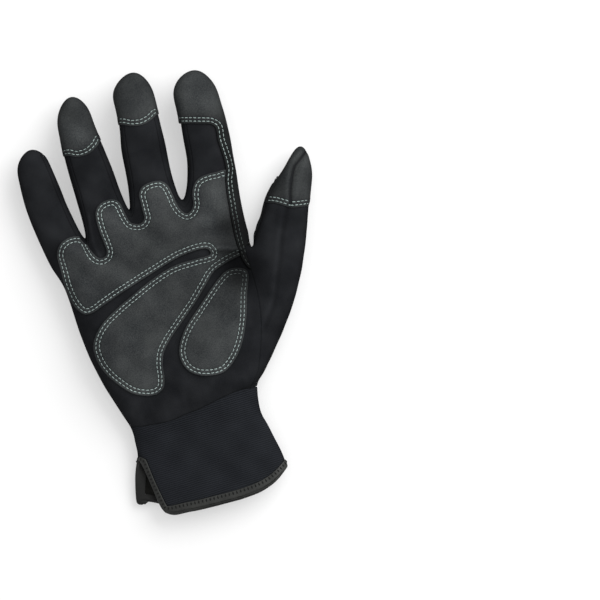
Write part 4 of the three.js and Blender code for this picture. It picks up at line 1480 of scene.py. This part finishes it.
class ClothPanels:
    """The sewn cloth of the glove: one walled piece of the skin for each panel."""

    # The seam between palm and cuff runs in a soft curve over the wrist.
    WRIST_LINE = (
        (-75, -66.5), (-56, -69.3), (-50.8, -70.4), (-44.7, -71.3), (-31, -71.9), (-22.5, -70.6),
        (-13, -69.3), (1.6, -66.1), (7.7, -65), (13.7, -64.6), (17.3, -65.1), (30, -64.5), (60, -64),
    )
    CUTS = {
        Panel.PALM: Cut(126, 198, 17900),
        Panel.BACK: Cut(130, 242, 21200, "gathered"),
        Panel.LITTLE_RING: Cut(12.5, 140, 1640, "folded"),
        Panel.RING_MIDDLE: Cut(13, 144, 1780, "folded"),
        Panel.MIDDLE_INDEX: Cut(13.5, 146, 1850, "folded"),
        Panel.THUMB: Cut(46, 128, 3250),
        Panel.THUMB_BACK: Cut(46, 128, 3200),
        Panel.CUFF: Cut(84, 58, 4050, "folded"),
    }
    SEAM_LEVELS = (0.25, 0.5)
    HEM_LEVELS = (0.25, 0.7, 1.3)
    BINDING_ROW = 1.3
    BINDING_PITCH = 2.2
    BINDING_PROUD = 0.45
    TACK_LIFT = 0.16
    # Painted shade on the binding low down by the table: its tone there, and the heights over which it
    # fades.
    FLAP_SHADE = 0.4
    FLAP_SHADE_HEIGHTS = (4.5, 7.5)
    LINING_TONE = 0.6
    FAR = 50.0

    def __init__(self, skin: Skin, relief: Relief, finishes: Finishes, pattern: Pattern) -> None:
        """Keeps what the panels are made from.

        Args:
            skin: the smooth surface.
            relief: the cloth's folds.
            finishes: the materials.
            pattern: the glove's sizes.
        """
        self.skin = skin
        self.relief = relief
        self.seam = Seam()
        self.wall = pattern.cloth_wall
        self.lining = finishes.lining
        self.tack = StitchMould(length=1.7, width=0.8, height=0.4)
        self.tack_thread = finishes.dark_thread
        looks = (
            ("palm_suede", finishes.suede, (Panel.PALM, Panel.THUMB)),
            ("back_knit", finishes.knit, (Panel.BACK, Panel.THUMB_BACK, Panel.CUFF)),
            ("binding", finishes.binding, (Panel.BINDING,)),
            ("side_fabric", finishes.side, FOURCHETTES),
        )
        self.looks = {panel: (slot, material) for slot, material, panels in looks for panel in panels}
        self._find_seams()

    def _find_seams(self) -> None:
        """Finds the edges that two panels share and the free edges of the cuff."""
        quads = self.skin.quads
        edges = np.vstack([quads[:, [place, (place + 1) % 4]] for place in range(4)])
        owner = np.tile(self.skin.panel, 4)
        key = np.sort(edges, axis=1).astype(np.int64) @ np.array([len(self.skin.points), 1])
        order = np.argsort(key, kind="stable")
        key, owner, edges = key[order], owner[order], edges[order]
        same = np.append(key[:-1] == key[1:], False)
        first = np.flatnonzero(same)
        differ = first[owner[first] != owner[first + 1]]
        self.seams = [(edges[index], owner[index], owner[index + 1]) for index in differ]
        paired = np.zeros(len(key), dtype=bool)
        paired[first] = paired[first + 1] = True
        self.free = edges[~paired]

    def _distance(self, points: np.ndarray, edges: Sequence[np.ndarray]) -> np.ndarray:
        """Distance from each point to the nearest of some edges of the skin."""
        if not len(edges):
            return np.full(len(points), self.FAR)
        pairs = np.array(edges)
        start, end = self.skin.points[pairs[:, 0]], self.skin.points[pairs[:, 1]]
        samples = np.vstack([blend(start, end, share) for share in (0, 0.25, 0.5, 0.75, 1)])
        tree = KDTree(len(samples))
        for index, sample in enumerate(samples.tolist()):
            tree.insert(sample, index)
        tree.balance()
        return np.array([tree.find(point)[2] for point in points.tolist()])

    def build(self) -> None:
        """Makes every panel."""
        for panel in PANELS:
            self._build(panel)

    def _build(self, panel: Panel) -> None:
        """Makes one panel, riding on the body and standing for its solid."""
        across_wrist = (Panel.PALM, Panel.CUFF)
        group = across_wrist if panel in across_wrist else (panel,)
        sheet = Sheet(self.skin, self.skin.faces_of(group))
        numbers = [PANELS.index(one) for one in group]
        own = [edge for edge, one, other in self.seams if (one in numbers) != (other in numbers)]
        seam = self._distance(sheet.points, own)
        if panel in across_wrist:
            above = height_over(sheet.points[:, :2], rounded_line(self.WRIST_LINE, False))
            seam = np.minimum(seam, above if panel is Panel.PALM else -above)
        sheet.fields["seam"] = seam
        sheet.fields["hem"] = self._distance(sheet.points, self.free)
        for level in (self.seam.gap, *self.SEAM_LEVELS, self.seam.reach):
            sheet.cut("seam", level)
        sheet.keep("seam", self.seam.gap)
        if panel is Panel.BINDING:
            sheet.cut("seam", self.BINDING_ROW)
            for level in self.HEM_LEVELS:
                sheet.cut("hem", level)
        outer = self.relief.height(sheet.points, sheet.normals) - self.seam.fall(sheet.fields["seam"])
        inner = np.full(len(outer), -self.wall)
        if panel is Panel.BINDING:
            half = self.wall / 2 + self.BINDING_PROUD
            roll = np.sqrt(1 - np.clip(1 - sheet.fields["hem"] / half, 0, 1) ** 2 * 0.99)
            middle = -self.wall / 2
            outer = middle + (half + outer) * roll
            inner = middle - half * roll
        wall = sheet.shell(outer, inner)
        tones = self.relief.tone(sheet.points, sheet.normals)
        tones *= 1 - SEAM_SHADE * np.exp(-sheet.fields["seam"] / 0.5)
        if panel is Panel.BINDING:
            # Painted shade on the binding low down by the table.
            tones *= blend(self.FLAP_SHADE, 1.0, smooth_step(sheet.points[:, 2], *self.FLAP_SHADE_HEIGHTS))
        tones = tones[wall.sources]
        tones[len(tones) // 2:] *= self.LINING_TONE
        slot, material = self.looks[panel]
        materials = [material] if panel is Panel.BINDING else [material, self.lining]
        name = f"{panel.value}_cloth"
        piece = make_piece(name, wall.points, wall.faces, materials, tones, wall.outer_faces)
        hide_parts(panel.value)
        if panel in self.CUTS:
            self.CUTS[panel].declare(piece)
        if panel is Panel.BINDING:
            self._bar_tack(sheet, outer)

    def _bar_tack(self, sheet: Sheet, outer: np.ndarray) -> None:
        """Lays the binding's short dark stitches across its inner edge."""
        surface = sheet.points + sheet.normals * outer[:, None]
        rows = [
            spaced(surface[line], sheet.normals[line], self.BINDING_PITCH)
            for line in sheet.level_lines("seam", self.BINDING_ROW)
        ]
        middle, along, up = (np.vstack(parts) for parts in zip(*rows))
        points, faces = self.tack.row(middle + up * self.TACK_LIFT, np.cross(up, along), up)
        make_piece("binding_stitching", points, faces, [self.tack_thread])


@dataclass(frozen=True)
class ShadeFade:
    """Painted shade: how an overlay and its stitches darken down the hand, on the side that faces up."""

    tone: float
    cloth: Point
    stitches: Point

    def at(self, along: np.ndarray, ends: Point) -> np.ndarray:
        """The tone at places along the hand, which rises from the darkest to 1 between two ends."""
        return blend(self.tone, 1.0, smooth_step(along, *ends))


@dataclass
class Overlay:
    """A pad, cap or patch sewn on the cloth, cut to outlines.

    The first outline is for the palm side and the second for the back. Each is the
    outer stitch row's line, and the piece reaches a margin further out.
    """

    name: str
    node: str
    slot: str = "pad_suede"
    palm: Outline | None = None
    back: Outline | None = None
    thickness: float = 1.2
    crown: float = 0.35
    lift: float = 0.2
    margin: float = 1.5
    rows: tuple[float, ...] = (1.5, 3.35)
    pressed: float = 0.34
    creases: tuple[Crease, ...] = ()
    blots: tuple[Blot, ...] = ()
    tone: float = 1.0
    fade: ShadeFade | None = None
    span: Point = (-math.inf, math.inf)
    fill: float | None = None
    cut: Cut | None = None


@dataclass
class OverlayShop:
    """Cuts the overlays out of the fine skin and sews them on."""

    skin: Skin
    relief: Relief
    finishes: Finishes
    mould: StitchMould
    pitch: float = 2.45
    stitch_lift: float = 0.08
    sewn_slope: float = 0.42
    seam_height: float = 10.7
    # The heights above which the painted shade down the hand applies.
    shade_fade_heights: Point = (6, 12)
    jitter: float = 0.06
    crotch: Point = (37.2, 12.8)
    crotch_share: float = 0.1
    crotch_reach: Point = (1.0, 9.0)
    edge_tone: float = 0.72
    edge_tone_reach: float = 0.5
    # Painted shade on stitches down steep sides, and how strongly the blots' painted shade and highlights
    # fall on stitches.
    thread_side_shade: float = 0.55
    thread_slopes: Point = (0.4, 0.85)
    thread_mark_power: float = 1.5
    thread_tones: Point = (0.85, 1.1)
    edge_round: float = 0.6
    edge_levels: tuple[float, ...] = (0.0, 0.15, 0.35, 0.6)
    row_levels: tuple[float, ...] = (-0.7, -0.35, 0.0, 0.35, 0.7)
    crown_reach: float = 2.5
    press_width: float = 0.42
    shade_width: float = 0.7
    covered_height: float = 0.12
    sunk: float = 0.3

    def field_of(self, overlay: Overlay, points: np.ndarray) -> np.ndarray:
        """Distance of each point inwards from the overlay's edge."""
        flat = points[:, :2]
        sides = []
        for outline in (overlay.palm, overlay.back):
            if outline is not None:
                sides.append(inside_distance(flat, rounded_line(outline, True)) + overlay.margin)
        if len(sides) == 1:
            return sides[0]
        share = smooth_step(points[:, 2], self.seam_height - 3, self.seam_height + 3)
        return blend(sides[1], sides[0], share)

    def ease(self, points: np.ndarray) -> np.ndarray:
        """How much of its height an overlay keeps: little down in the thumb's crotch."""
        away = np.linalg.norm(points[:, :2] - self.crotch, axis=1)
        return blend(self.crotch_share, 1.0, smooth_step(away, *self.crotch_reach))

    def profile(self, overlay: Overlay, distance: np.ndarray) -> np.ndarray:
        """The overlay's height over the cloth at a distance from its edge."""
        edge = np.sqrt(1 - np.clip(1 - distance / self.edge_round, 0, 1) ** 2 * 0.98)
        height = overlay.thickness * (0.35 + 0.65 * edge)
        inside = np.clip(distance - overlay.rows[-1], 0, None)
        height += overlay.crown * (1 - np.exp(-inside / self.crown_reach))
        for row in overlay.rows:
            height -= overlay.pressed * bell(distance - row, self.press_width)
        return height

    def build(self, overlay: Overlay, wanted: np.ndarray, covered: Sequence[Overlay] = ()) -> None:
        """Makes an overlay and its stitches.

        Args:
            overlay: the piece.
            wanted: which of the skin's faces it may lie on, as far as its span reaches.
            covered: overlays that lie over this one and hide its stitches.
        """
        along = self.skin.centres[:, 1]
        low, high = overlay.span
        sheet = Sheet(self.skin, wanted & (along > low) & (along < high))
        sheet.fields["edge"] = self.field_of(overlay, sheet.points)
        near = sheet.fields["edge"][sheet.quads].max(axis=1) > -0.5
        sheet.quads = sheet.quads[near]
        levels = {round(row + step, 3) for row in overlay.rows for step in self.row_levels}
        for level in sorted(levels.union(self.edge_levels)):
            sheet.cut("edge", level)
        sheet.keep("edge", 0.0)
        distance = sheet.fields["edge"]
        base = self.relief.height(sheet.points, sheet.normals)
        height = self.profile(overlay, distance)
        for other in covered:
            under = smooth_step(self.field_of(other, sheet.points), -0.5, 0.3)
            height = blend(height, self.covered_height, under)
        tones = self.relief.tone(sheet.points, sheet.normals) * overlay.tone
        tones *= blend(self.edge_tone, 1.0, smooth_step(distance, 0.0, self.edge_tone_reach))
        for row in overlay.rows:
            tones *= 1 - SEAM_SHADE * bell(distance - row, self.shade_width)
        # The creases and blots paint shade and highlights on the overlay.
        for mark in (*overlay.creases, *overlay.blots):
            tones *= 1 + mark.tone * mark.strength(sheet.points, sheet.normals)
        for crease in overlay.creases:
            height = height + crease.rise * crease.strength(sheet.points, sheet.normals)
        # Painted shade down the hand, where the raised strip turns from the light.
        if overlay.fade:
            side = smooth_step(sheet.points[:, 2], *self.shade_fade_heights)
            tones *= blend(1.0, overlay.fade.at(sheet.points[:, 1], overlay.fade.cloth), side)
        ease = self.ease(sheet.points)
        outer = base + (overlay.lift + height) * ease
        inner = base + overlay.lift * ease - self.sunk
        wall = sheet.shell(outer, inner)
        finish = self.finishes.label if overlay.slot == "label" else self.finishes.pad
        piece = make_piece(overlay.name, wall.points, wall.faces, [finish], tones[wall.sources])
        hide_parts(overlay.node)
        if overlay.cut is not None:
            overlay.cut.declare(piece)
        surface = sheet.points + sheet.normals * outer[:, None]
        self._sew(overlay, sheet, surface, covered)

    def _sew(self, overlay: Overlay, sheet: Sheet, surface: np.ndarray, covered: Sequence[Overlay]) -> None:
        """Lays stitches along the overlay's rows."""
        rows = [
            spaced(surface[line], sheet.normals[line], self.pitch)
            for row in overlay.rows
            for line in sheet.level_lines("edge", row)
        ]
        middle, along, up = (np.vstack(parts) for parts in zip(*rows))
        kept = np.abs(up[:, 2]) > self.sewn_slope
        for other in covered:
            kept &= self.field_of(other, middle) < -0.2
        middle, along, up = middle[kept], along[kept], up[kept]
        along /= np.linalg.norm(along, axis=1, keepdims=True)
        random = np.random.default_rng(len(overlay.name))
        along += random.normal(0, self.jitter, along.shape)
        points, faces = self.mould.row(middle + up * self.stitch_lift, along, up)
        # Painted shade on stitches along steep sides and under the blots; the random spread is the thread's
        # own.
        facing_up = smooth_step(np.abs(up[:, 2]), *self.thread_slopes)
        tones = blend(self.thread_side_shade, 1.0, facing_up)
        for mark in self.relief.blots:
            tones *= (1 + mark.tone * mark.strength(middle, up)) ** self.thread_mark_power
        tones *= random.uniform(*self.thread_tones, len(tones))
        if overlay.fade:
            tones *= overlay.fade.at(middle[:, 1], overlay.fade.stitches)
        thread = self.finishes.dark_thread if overlay.slot == "label" else self.finishes.thread
        tones = np.repeat(tones, len(self.mould.points))
        make_piece(f"{overlay.name}_stitching", points, faces, [thread], tones)


CAP = {"thickness": 0.5, "crown": 0.1, "lift": 0.1}
GRIP_PAD = Overlay(
    "grip_pad", "palm_pad", fill=0.4, span=(-60, 64),
    palm=(
        (-62, -1), (-65.5, 5), (-67.3, 14), (-67.8, 24), (-68, 33), (-66, 37.3), (-62, 39.5),
        (-57, 39.5), (-54, 37), (-52.5, 32), (-50, 27), (-47, 24.6), (-43, 25), (-40.8, 28), (-41, 34),
        (-41.7, 40), (-42, 48), (-41, 52), (-38, 54.5), (-33, 55), (-30.5, 53), (-29.3, 48), (-28, 43),
        (-26, 39.5), (-22, 37.8), (-18.5, 38), (-15.7, 41), (-15.5, 45), (-15.5, 50), (-15.3, 55),
        (-13, 58), (-8, 59), (-4, 58.3), (-1.8, 55.5), (-0.5, 50), (0.3, 45), (2.3, 40), (6, 36.8),
        (10, 38), (12.8, 42), (13.5, 47), (15.5, 52), (18, 54.5), (22, 55.5), (28, 55.6), (32.5, 55.6),
        (33, 50), (31.5, 40), (31, 25), (31, 14), (31, 10.4), (28, 9.5), (20, 7.5), (12, 4), (5, -3),
        (-3, -11), (-12, -19), (-20, -26), (-26, -33), (-28.5, -40), (-29.3, -47), (-31, -52),
        (-35, -54), (-41, -53), (-47, -50), (-53, -43.5), (-57.3, -37), (-60, -30), (-60.5, -22),
        (-58, -16), (-52, -10), (-42, -4), (-32, 1), (-20, 6.5), (-8, 10.3), (5, 11.2), (12, 11.3),
        (14.8, 12.2), (15.2, 14.8), (13.5, 17.5), (10, 18.5), (5, 18.5), (-5, 17), (-20, 12.3),
        (-40, 5.5), (-52, 1), (-58, -1.3),
    ),
)
HEEL_PAD = Overlay(
    "heel_grip_pad", "heel_pad", fill=0.4, span=(-58, 8),
    palm=(
        (22.6, 1.2), (27, 0.5), (29.8, -1.3), (29.4, -5), (26.3, -13.4), (22.5, -26.9), (18, -37.3),
        (12.5, -45.3), (4.5, -51), (-5.4, -50.5), (-12.2, -46.8), (-15.2, -40.6), (-14.5, -33.6),
        (-9.1, -24.8), (0.4, -15.6), (11.6, -5.4), (18.6, 0),
    ),
)
# The cap's blot is a painted highlight in its middle, where the rounded tip faces the light.
RING_CAP = Overlay(
    "ring_finger_cap", "ring_tip", **CAP, span=(78, math.inf),
    tone=0.84, blots=(Blot((-42.6, 96), 8, 0.4),), cut=Cut(46, 36, 1290, "folded"),
    palm=(
        (-75, 88.6), (-50, 87.3), (-45.2, 85.3), (-39.3, 85.5), (-34.3, 88.2), (-30.9, 91.6), (-10, 97),
        (-10, 170), (-75, 170),
    ),
    back=(
        (-75, 100), (-52.5, 97), (-48, 101), (-43, 102.5), (-37, 101.5), (-10, 98), (-10, 170), (-75, 170),
    ),
)
# The cap's blot is a painted highlight in its middle, where the rounded tip faces the light.
MIDDLE_CAP = Overlay(
    "middle_finger_cap", "middle_tip", **CAP, span=(84, math.inf),
    tone=0.82, blots=(Blot((-2, 105), 8, 0.4),), cut=Cut(48, 32, 1200, "folded"),
    palm=(
        (-45, 98.5), (-17.7, 97.1), (-11.1, 94.6), (-5.5, 94), (-0.8, 95.4), (2.6, 97.4), (25, 101),
        (25, 170), (-45, 170),
    ),
    back=((-45, 106), (-17, 109), (-12, 112), (-5, 112.5), (2, 109), (25, 105), (25, 170), (-45, 170)),
)
# The guard's blot is a painted highlight near the tip, and its fade a painted shade down its side strip.
INDEX_GUARD = Overlay(
    "index_side_guard", "index_guard", thickness=0.85, crown=0.15, lift=0.35,
    fade=ShadeFade(0.34, (76, 98), (18, 66)), span=(0, math.inf), tone=0.9,
    blots=(Blot((26, 99), 10, 0.35),), cut=Cut(52, 118, 3560, "folded"),
    palm=(
        (-20, 92), (10, 91), (16.5, 89.4), (26, 86.8), (32, 84.9), (34.6, 82), (34.7, 78.3),
        (34.3, 74.8), (34.6, 69.7), (35, 62.3), (34.6, 56.6), (32.9, 51.4), (31.7, 43), (31, 31.6),
        (30.3, 20.2), (31, 8.5), (32, 4.5), (34, 1), (42, -3), (80, -3), (80, 170), (-20, 170),
    ),
    back=(
        (-20, 97), (10, 97.3), (17, 97.6), (24, 98), (30, 96), (35, 91), (37.5, 82), (36.5, 74),
        (34, 69.5), (30, 67.5), (24, 66), (16, 64), (-20, 62), (-20, 53), (14.5, 53.5), (22, 51.5),
        (28, 48), (31.5, 42), (32.7, 30), (34, 20), (38, 15), (60, 20), (80, 60), (80, 170), (-20, 170),
    ),
)
THUMB_CAP = Overlay(
    "thumb_cap", "thumb_tip", **CAP, span=(15, math.inf),
    palm=(
        (30, 37), (51.9, 34.7), (56.8, 33.1), (61.8, 30.2), (63.6, 29), (68.1, 28.2), (74.7, 27.7),
        (100, 29), (100, 110), (30, 110),
    ),
    back=((30, 62), (50, 55), (62, 45), (68, 39), (74, 33.5), (100, 30), (100, 110), (30, 110)),
    # The creases' tones are painted shade in the groove and painted highlights on its ridges; the blots
    # paint shade on the cap's left and a highlight on its right.
    creases=(
        Crease(
            ((81, 59), (79.3, 56.3), (75, 52.6), (71, 49.3), (68, 43.5), (65.7, 37.5), (63.6, 29)),
            0.65, -1.0, -0.75,
        ),
        Crease(((76, 56), (69.3, 50.8), (66, 44.5), (63.7, 38), (62, 30.5)), 1.1, 0.35, 0.3),
        Crease(((82, 56), (76.5, 49), (71.5, 42), (68.5, 36), (66.5, 30)), 1.6, 0.3, 0.2),
    ),
    blots=(Blot((57, 42), 11, -0.5), Blot((71, 40), 8, 0.2)),
    tone=0.8, cut=Cut(48, 36, 1290, "folded"),
)
CROTCH_PATCH = Overlay(
    "thumb_crotch_guard", "thumb_crotch_patch", fill=0.3, span=(-10, math.inf),
    back=(
        (60, 45), (62, 42), (64.5, 35), (62.3, 22), (57, 12), (50, 4), (44, 0.2), (38.5, 0), (38.3, 7),
        (41, 16), (44.5, 26), (49.5, 36), (55, 43.5),
    ),
)
CUFF_LABEL = Overlay(
    "cuff_label", "label_patch", slot="label", thickness=0.75, crown=0.0, pressed=0.2, margin=1.4,
    rows=(1.4,), span=(-math.inf, -70),
    back=(
        (-45.5, -101), (-25, -101.6), (-4.5, -102), (-3.6, -101), (-3, -91), (-2.6, -81.6),
        (-3.4, -80.6), (-24, -79.4), (-44, -78.4), (-45.2, -79.3), (-46, -89.5), (-46.5, -100),
    ),
)


class Studio:
    """The floor, the soft lights and the camera over the palm."""

    FRAME_WIDTH = 336.0
    TURN = math.radians(14.0)
    AIM = (56.05, -23.35, 0.0)
    HORIZON = 0.4
    ZENITH = 1.3
    KEY = 41.0
    KEY_SIZE = 1.6
    KEY_ACROSS = 0.95
    KEY_HEIGHT = 1.05
    SENSOR = 36.0
    FLOOR_GREY = 0.4
    FLOOR_SIZE = 30.0
    CAMERA_HEIGHT = 12.0
    CAMERA_REACH = 50.0
    GLOW = 0.42

    def build(self) -> None:
        """Sets up the studio."""
        self._floor()
        self._lights()
        self._camera()

    def _axes(self) -> tuple[Vector, Vector]:
        """The picture's right and up directions on the floor."""
        right = Vector((math.cos(self.TURN), -math.sin(self.TURN), 0))
        up = Vector((math.sin(self.TURN), math.cos(self.TURN), 0))
        return right, up

    def _floor(self) -> None:
        """A wide light table, lit a little from below."""
        bpy.ops.object.select_all(action="DESELECT")
        bpy.ops.mesh.primitive_plane_add(size=self.FLOOR_SIZE, location=(0, 0, -0.0002))
        floor = bpy.context.active_object
        floor.name = "studio_floor"
        shader = Shader("studio_floor")
        shader.set(Base_Color=(*[self.FLOOR_GREY] * 3, 1), Roughness=0.9, Specular_IOR_Level=0.0)
        shader.set(Emission_Color=(1, 1, 1, 1), Emission_Strength=self.GLOW)
        floor.data.materials.append(shader.material)

    def _lights(self) -> None:
        """A broad light from the upper right and a white sky."""
        right, up = self._axes()
        world = bpy.data.worlds.new("studio")
        bpy.context.scene.world = world
        world.use_nodes = True
        sky = NodeTree(world.node_tree)
        direction = sky.node("ShaderNodeTexCoord")[0]
        height = sky.node("ShaderNodeSeparateXYZ", {}, {0: direction})[2]
        inputs = {"Value": height, "To Min": self.HORIZON, "To Max": self.ZENITH}
        brightness = sky.node("ShaderNodeMapRange", {}, inputs)[0]
        background = sky.tree.nodes["Background"]
        sky.connect(background.inputs["Strength"], brightness)
        sky.connect(background.inputs["Color"], (1, 1, 1, 1))
        place = right * self.KEY_ACROSS + up * self.KEY_ACROSS + Vector((0, 0, self.KEY_HEIGHT))
        light = bpy.data.lights.new("key", "AREA")
        light.shape = "SQUARE"
        light.size = self.KEY_SIZE
        light.energy = self.KEY
        lamp = bpy.data.objects.new("key", light)
        lamp.location = place
        lamp.rotation_euler = (-place).to_track_quat("-Z", "Y").to_euler()
        bpy.context.scene.collection.objects.link(lamp)

    def _camera(self) -> None:
        """A long lens straight above, turned as the picture is."""
        camera = bpy.data.cameras.new("overhead")
        camera.sensor_width = self.SENSOR
        camera.lens = self.SENSOR * self.CAMERA_HEIGHT / (self.FRAME_WIDTH * MM)
        camera.clip_end = self.CAMERA_REACH
        overhead = bpy.data.objects.new("overhead", camera)
        aim = Vector(self.AIM) * MM
        overhead.location = aim + Vector((0, 0, self.CAMERA_HEIGHT))
        overhead.rotation_euler = (0, 0, -self.TURN)
        bpy.context.scene.collection.objects.link(overhead)
        bpy.context.scene.camera = overhead
        bpy.context.scene.view_settings.view_transform = "Standard"


# How far to each side a fingertip's cap may lie, in shares of the finger's width.
CAP_REACH = 0.66
# How much a face has to look up or down to carry a pad or a patch, and the label.
PAD_SLOPE = 0.05
LABEL_SLOPE = 0.2
# The index guard leaves the side strip bare below this place along the hand.
STRIP_TOP = 86
SKIN_LEVELS = 4


def near_finger(skin: Skin, pattern: Pattern, index: int) -> np.ndarray:
    """Whether each face of the skin lies along one finger's own line."""
    finger = pattern.fingers[index]
    root = pattern.palm_place(finger.root) + WRIST_SEAM[:2]
    slope = math.tan(math.radians(finger.lean))
    middle = root[0] - slope * (skin.centres[:, 1] - root[1])
    return np.abs(skin.centres[:, 0] - middle) < CAP_REACH * finger.width


def main() -> None:
    """Builds the glove and its studio."""
    logging.basicConfig(level=logging.INFO, format="%(name)s: %(message)s")
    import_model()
    pattern = Pattern()
    cage = Cage(pattern)
    relief = Relief()
    finishes = Finishes()
    mould = StitchMould(length=1.98, width=0.54, height=0.46)
    skin = Skin(cage, SKIN_LEVELS)
    ClothPanels(skin, relief, finishes, pattern).build()
    shop = OverlayShop(skin, relief, finishes, mould)
    facing = skin.normals[skin.quads][:, :, 2].mean(axis=1)
    on_hand = skin.faces_of((Panel.PALM, Panel.THUMB))
    on_thumb = skin.faces_of(THUMB_PANELS)
    upward, downward = facing > PAD_SLOPE, facing < -PAD_SLOPE
    beside_index = skin.faces_of((Panel.MIDDLE_INDEX,)) & (skin.centres[:, 1] < STRIP_TOP)
    shop.build(GRIP_PAD, upward & on_hand, [INDEX_GUARD])
    shop.build(HEEL_PAD, upward & on_hand)
    shop.build(RING_CAP, near_finger(skin, pattern, 1))
    shop.build(MIDDLE_CAP, near_finger(skin, pattern, 2))
    shop.build(INDEX_GUARD, near_finger(skin, pattern, 3) & ~on_thumb & ~beside_index)
    shop.build(THUMB_CAP, on_thumb)
    shop.build(CROTCH_PATCH, on_thumb & downward)
    shop.build(CUFF_LABEL, facing < -LABEL_SLOPE)
    Studio().build()


if __name__ == "__main__":
    main()
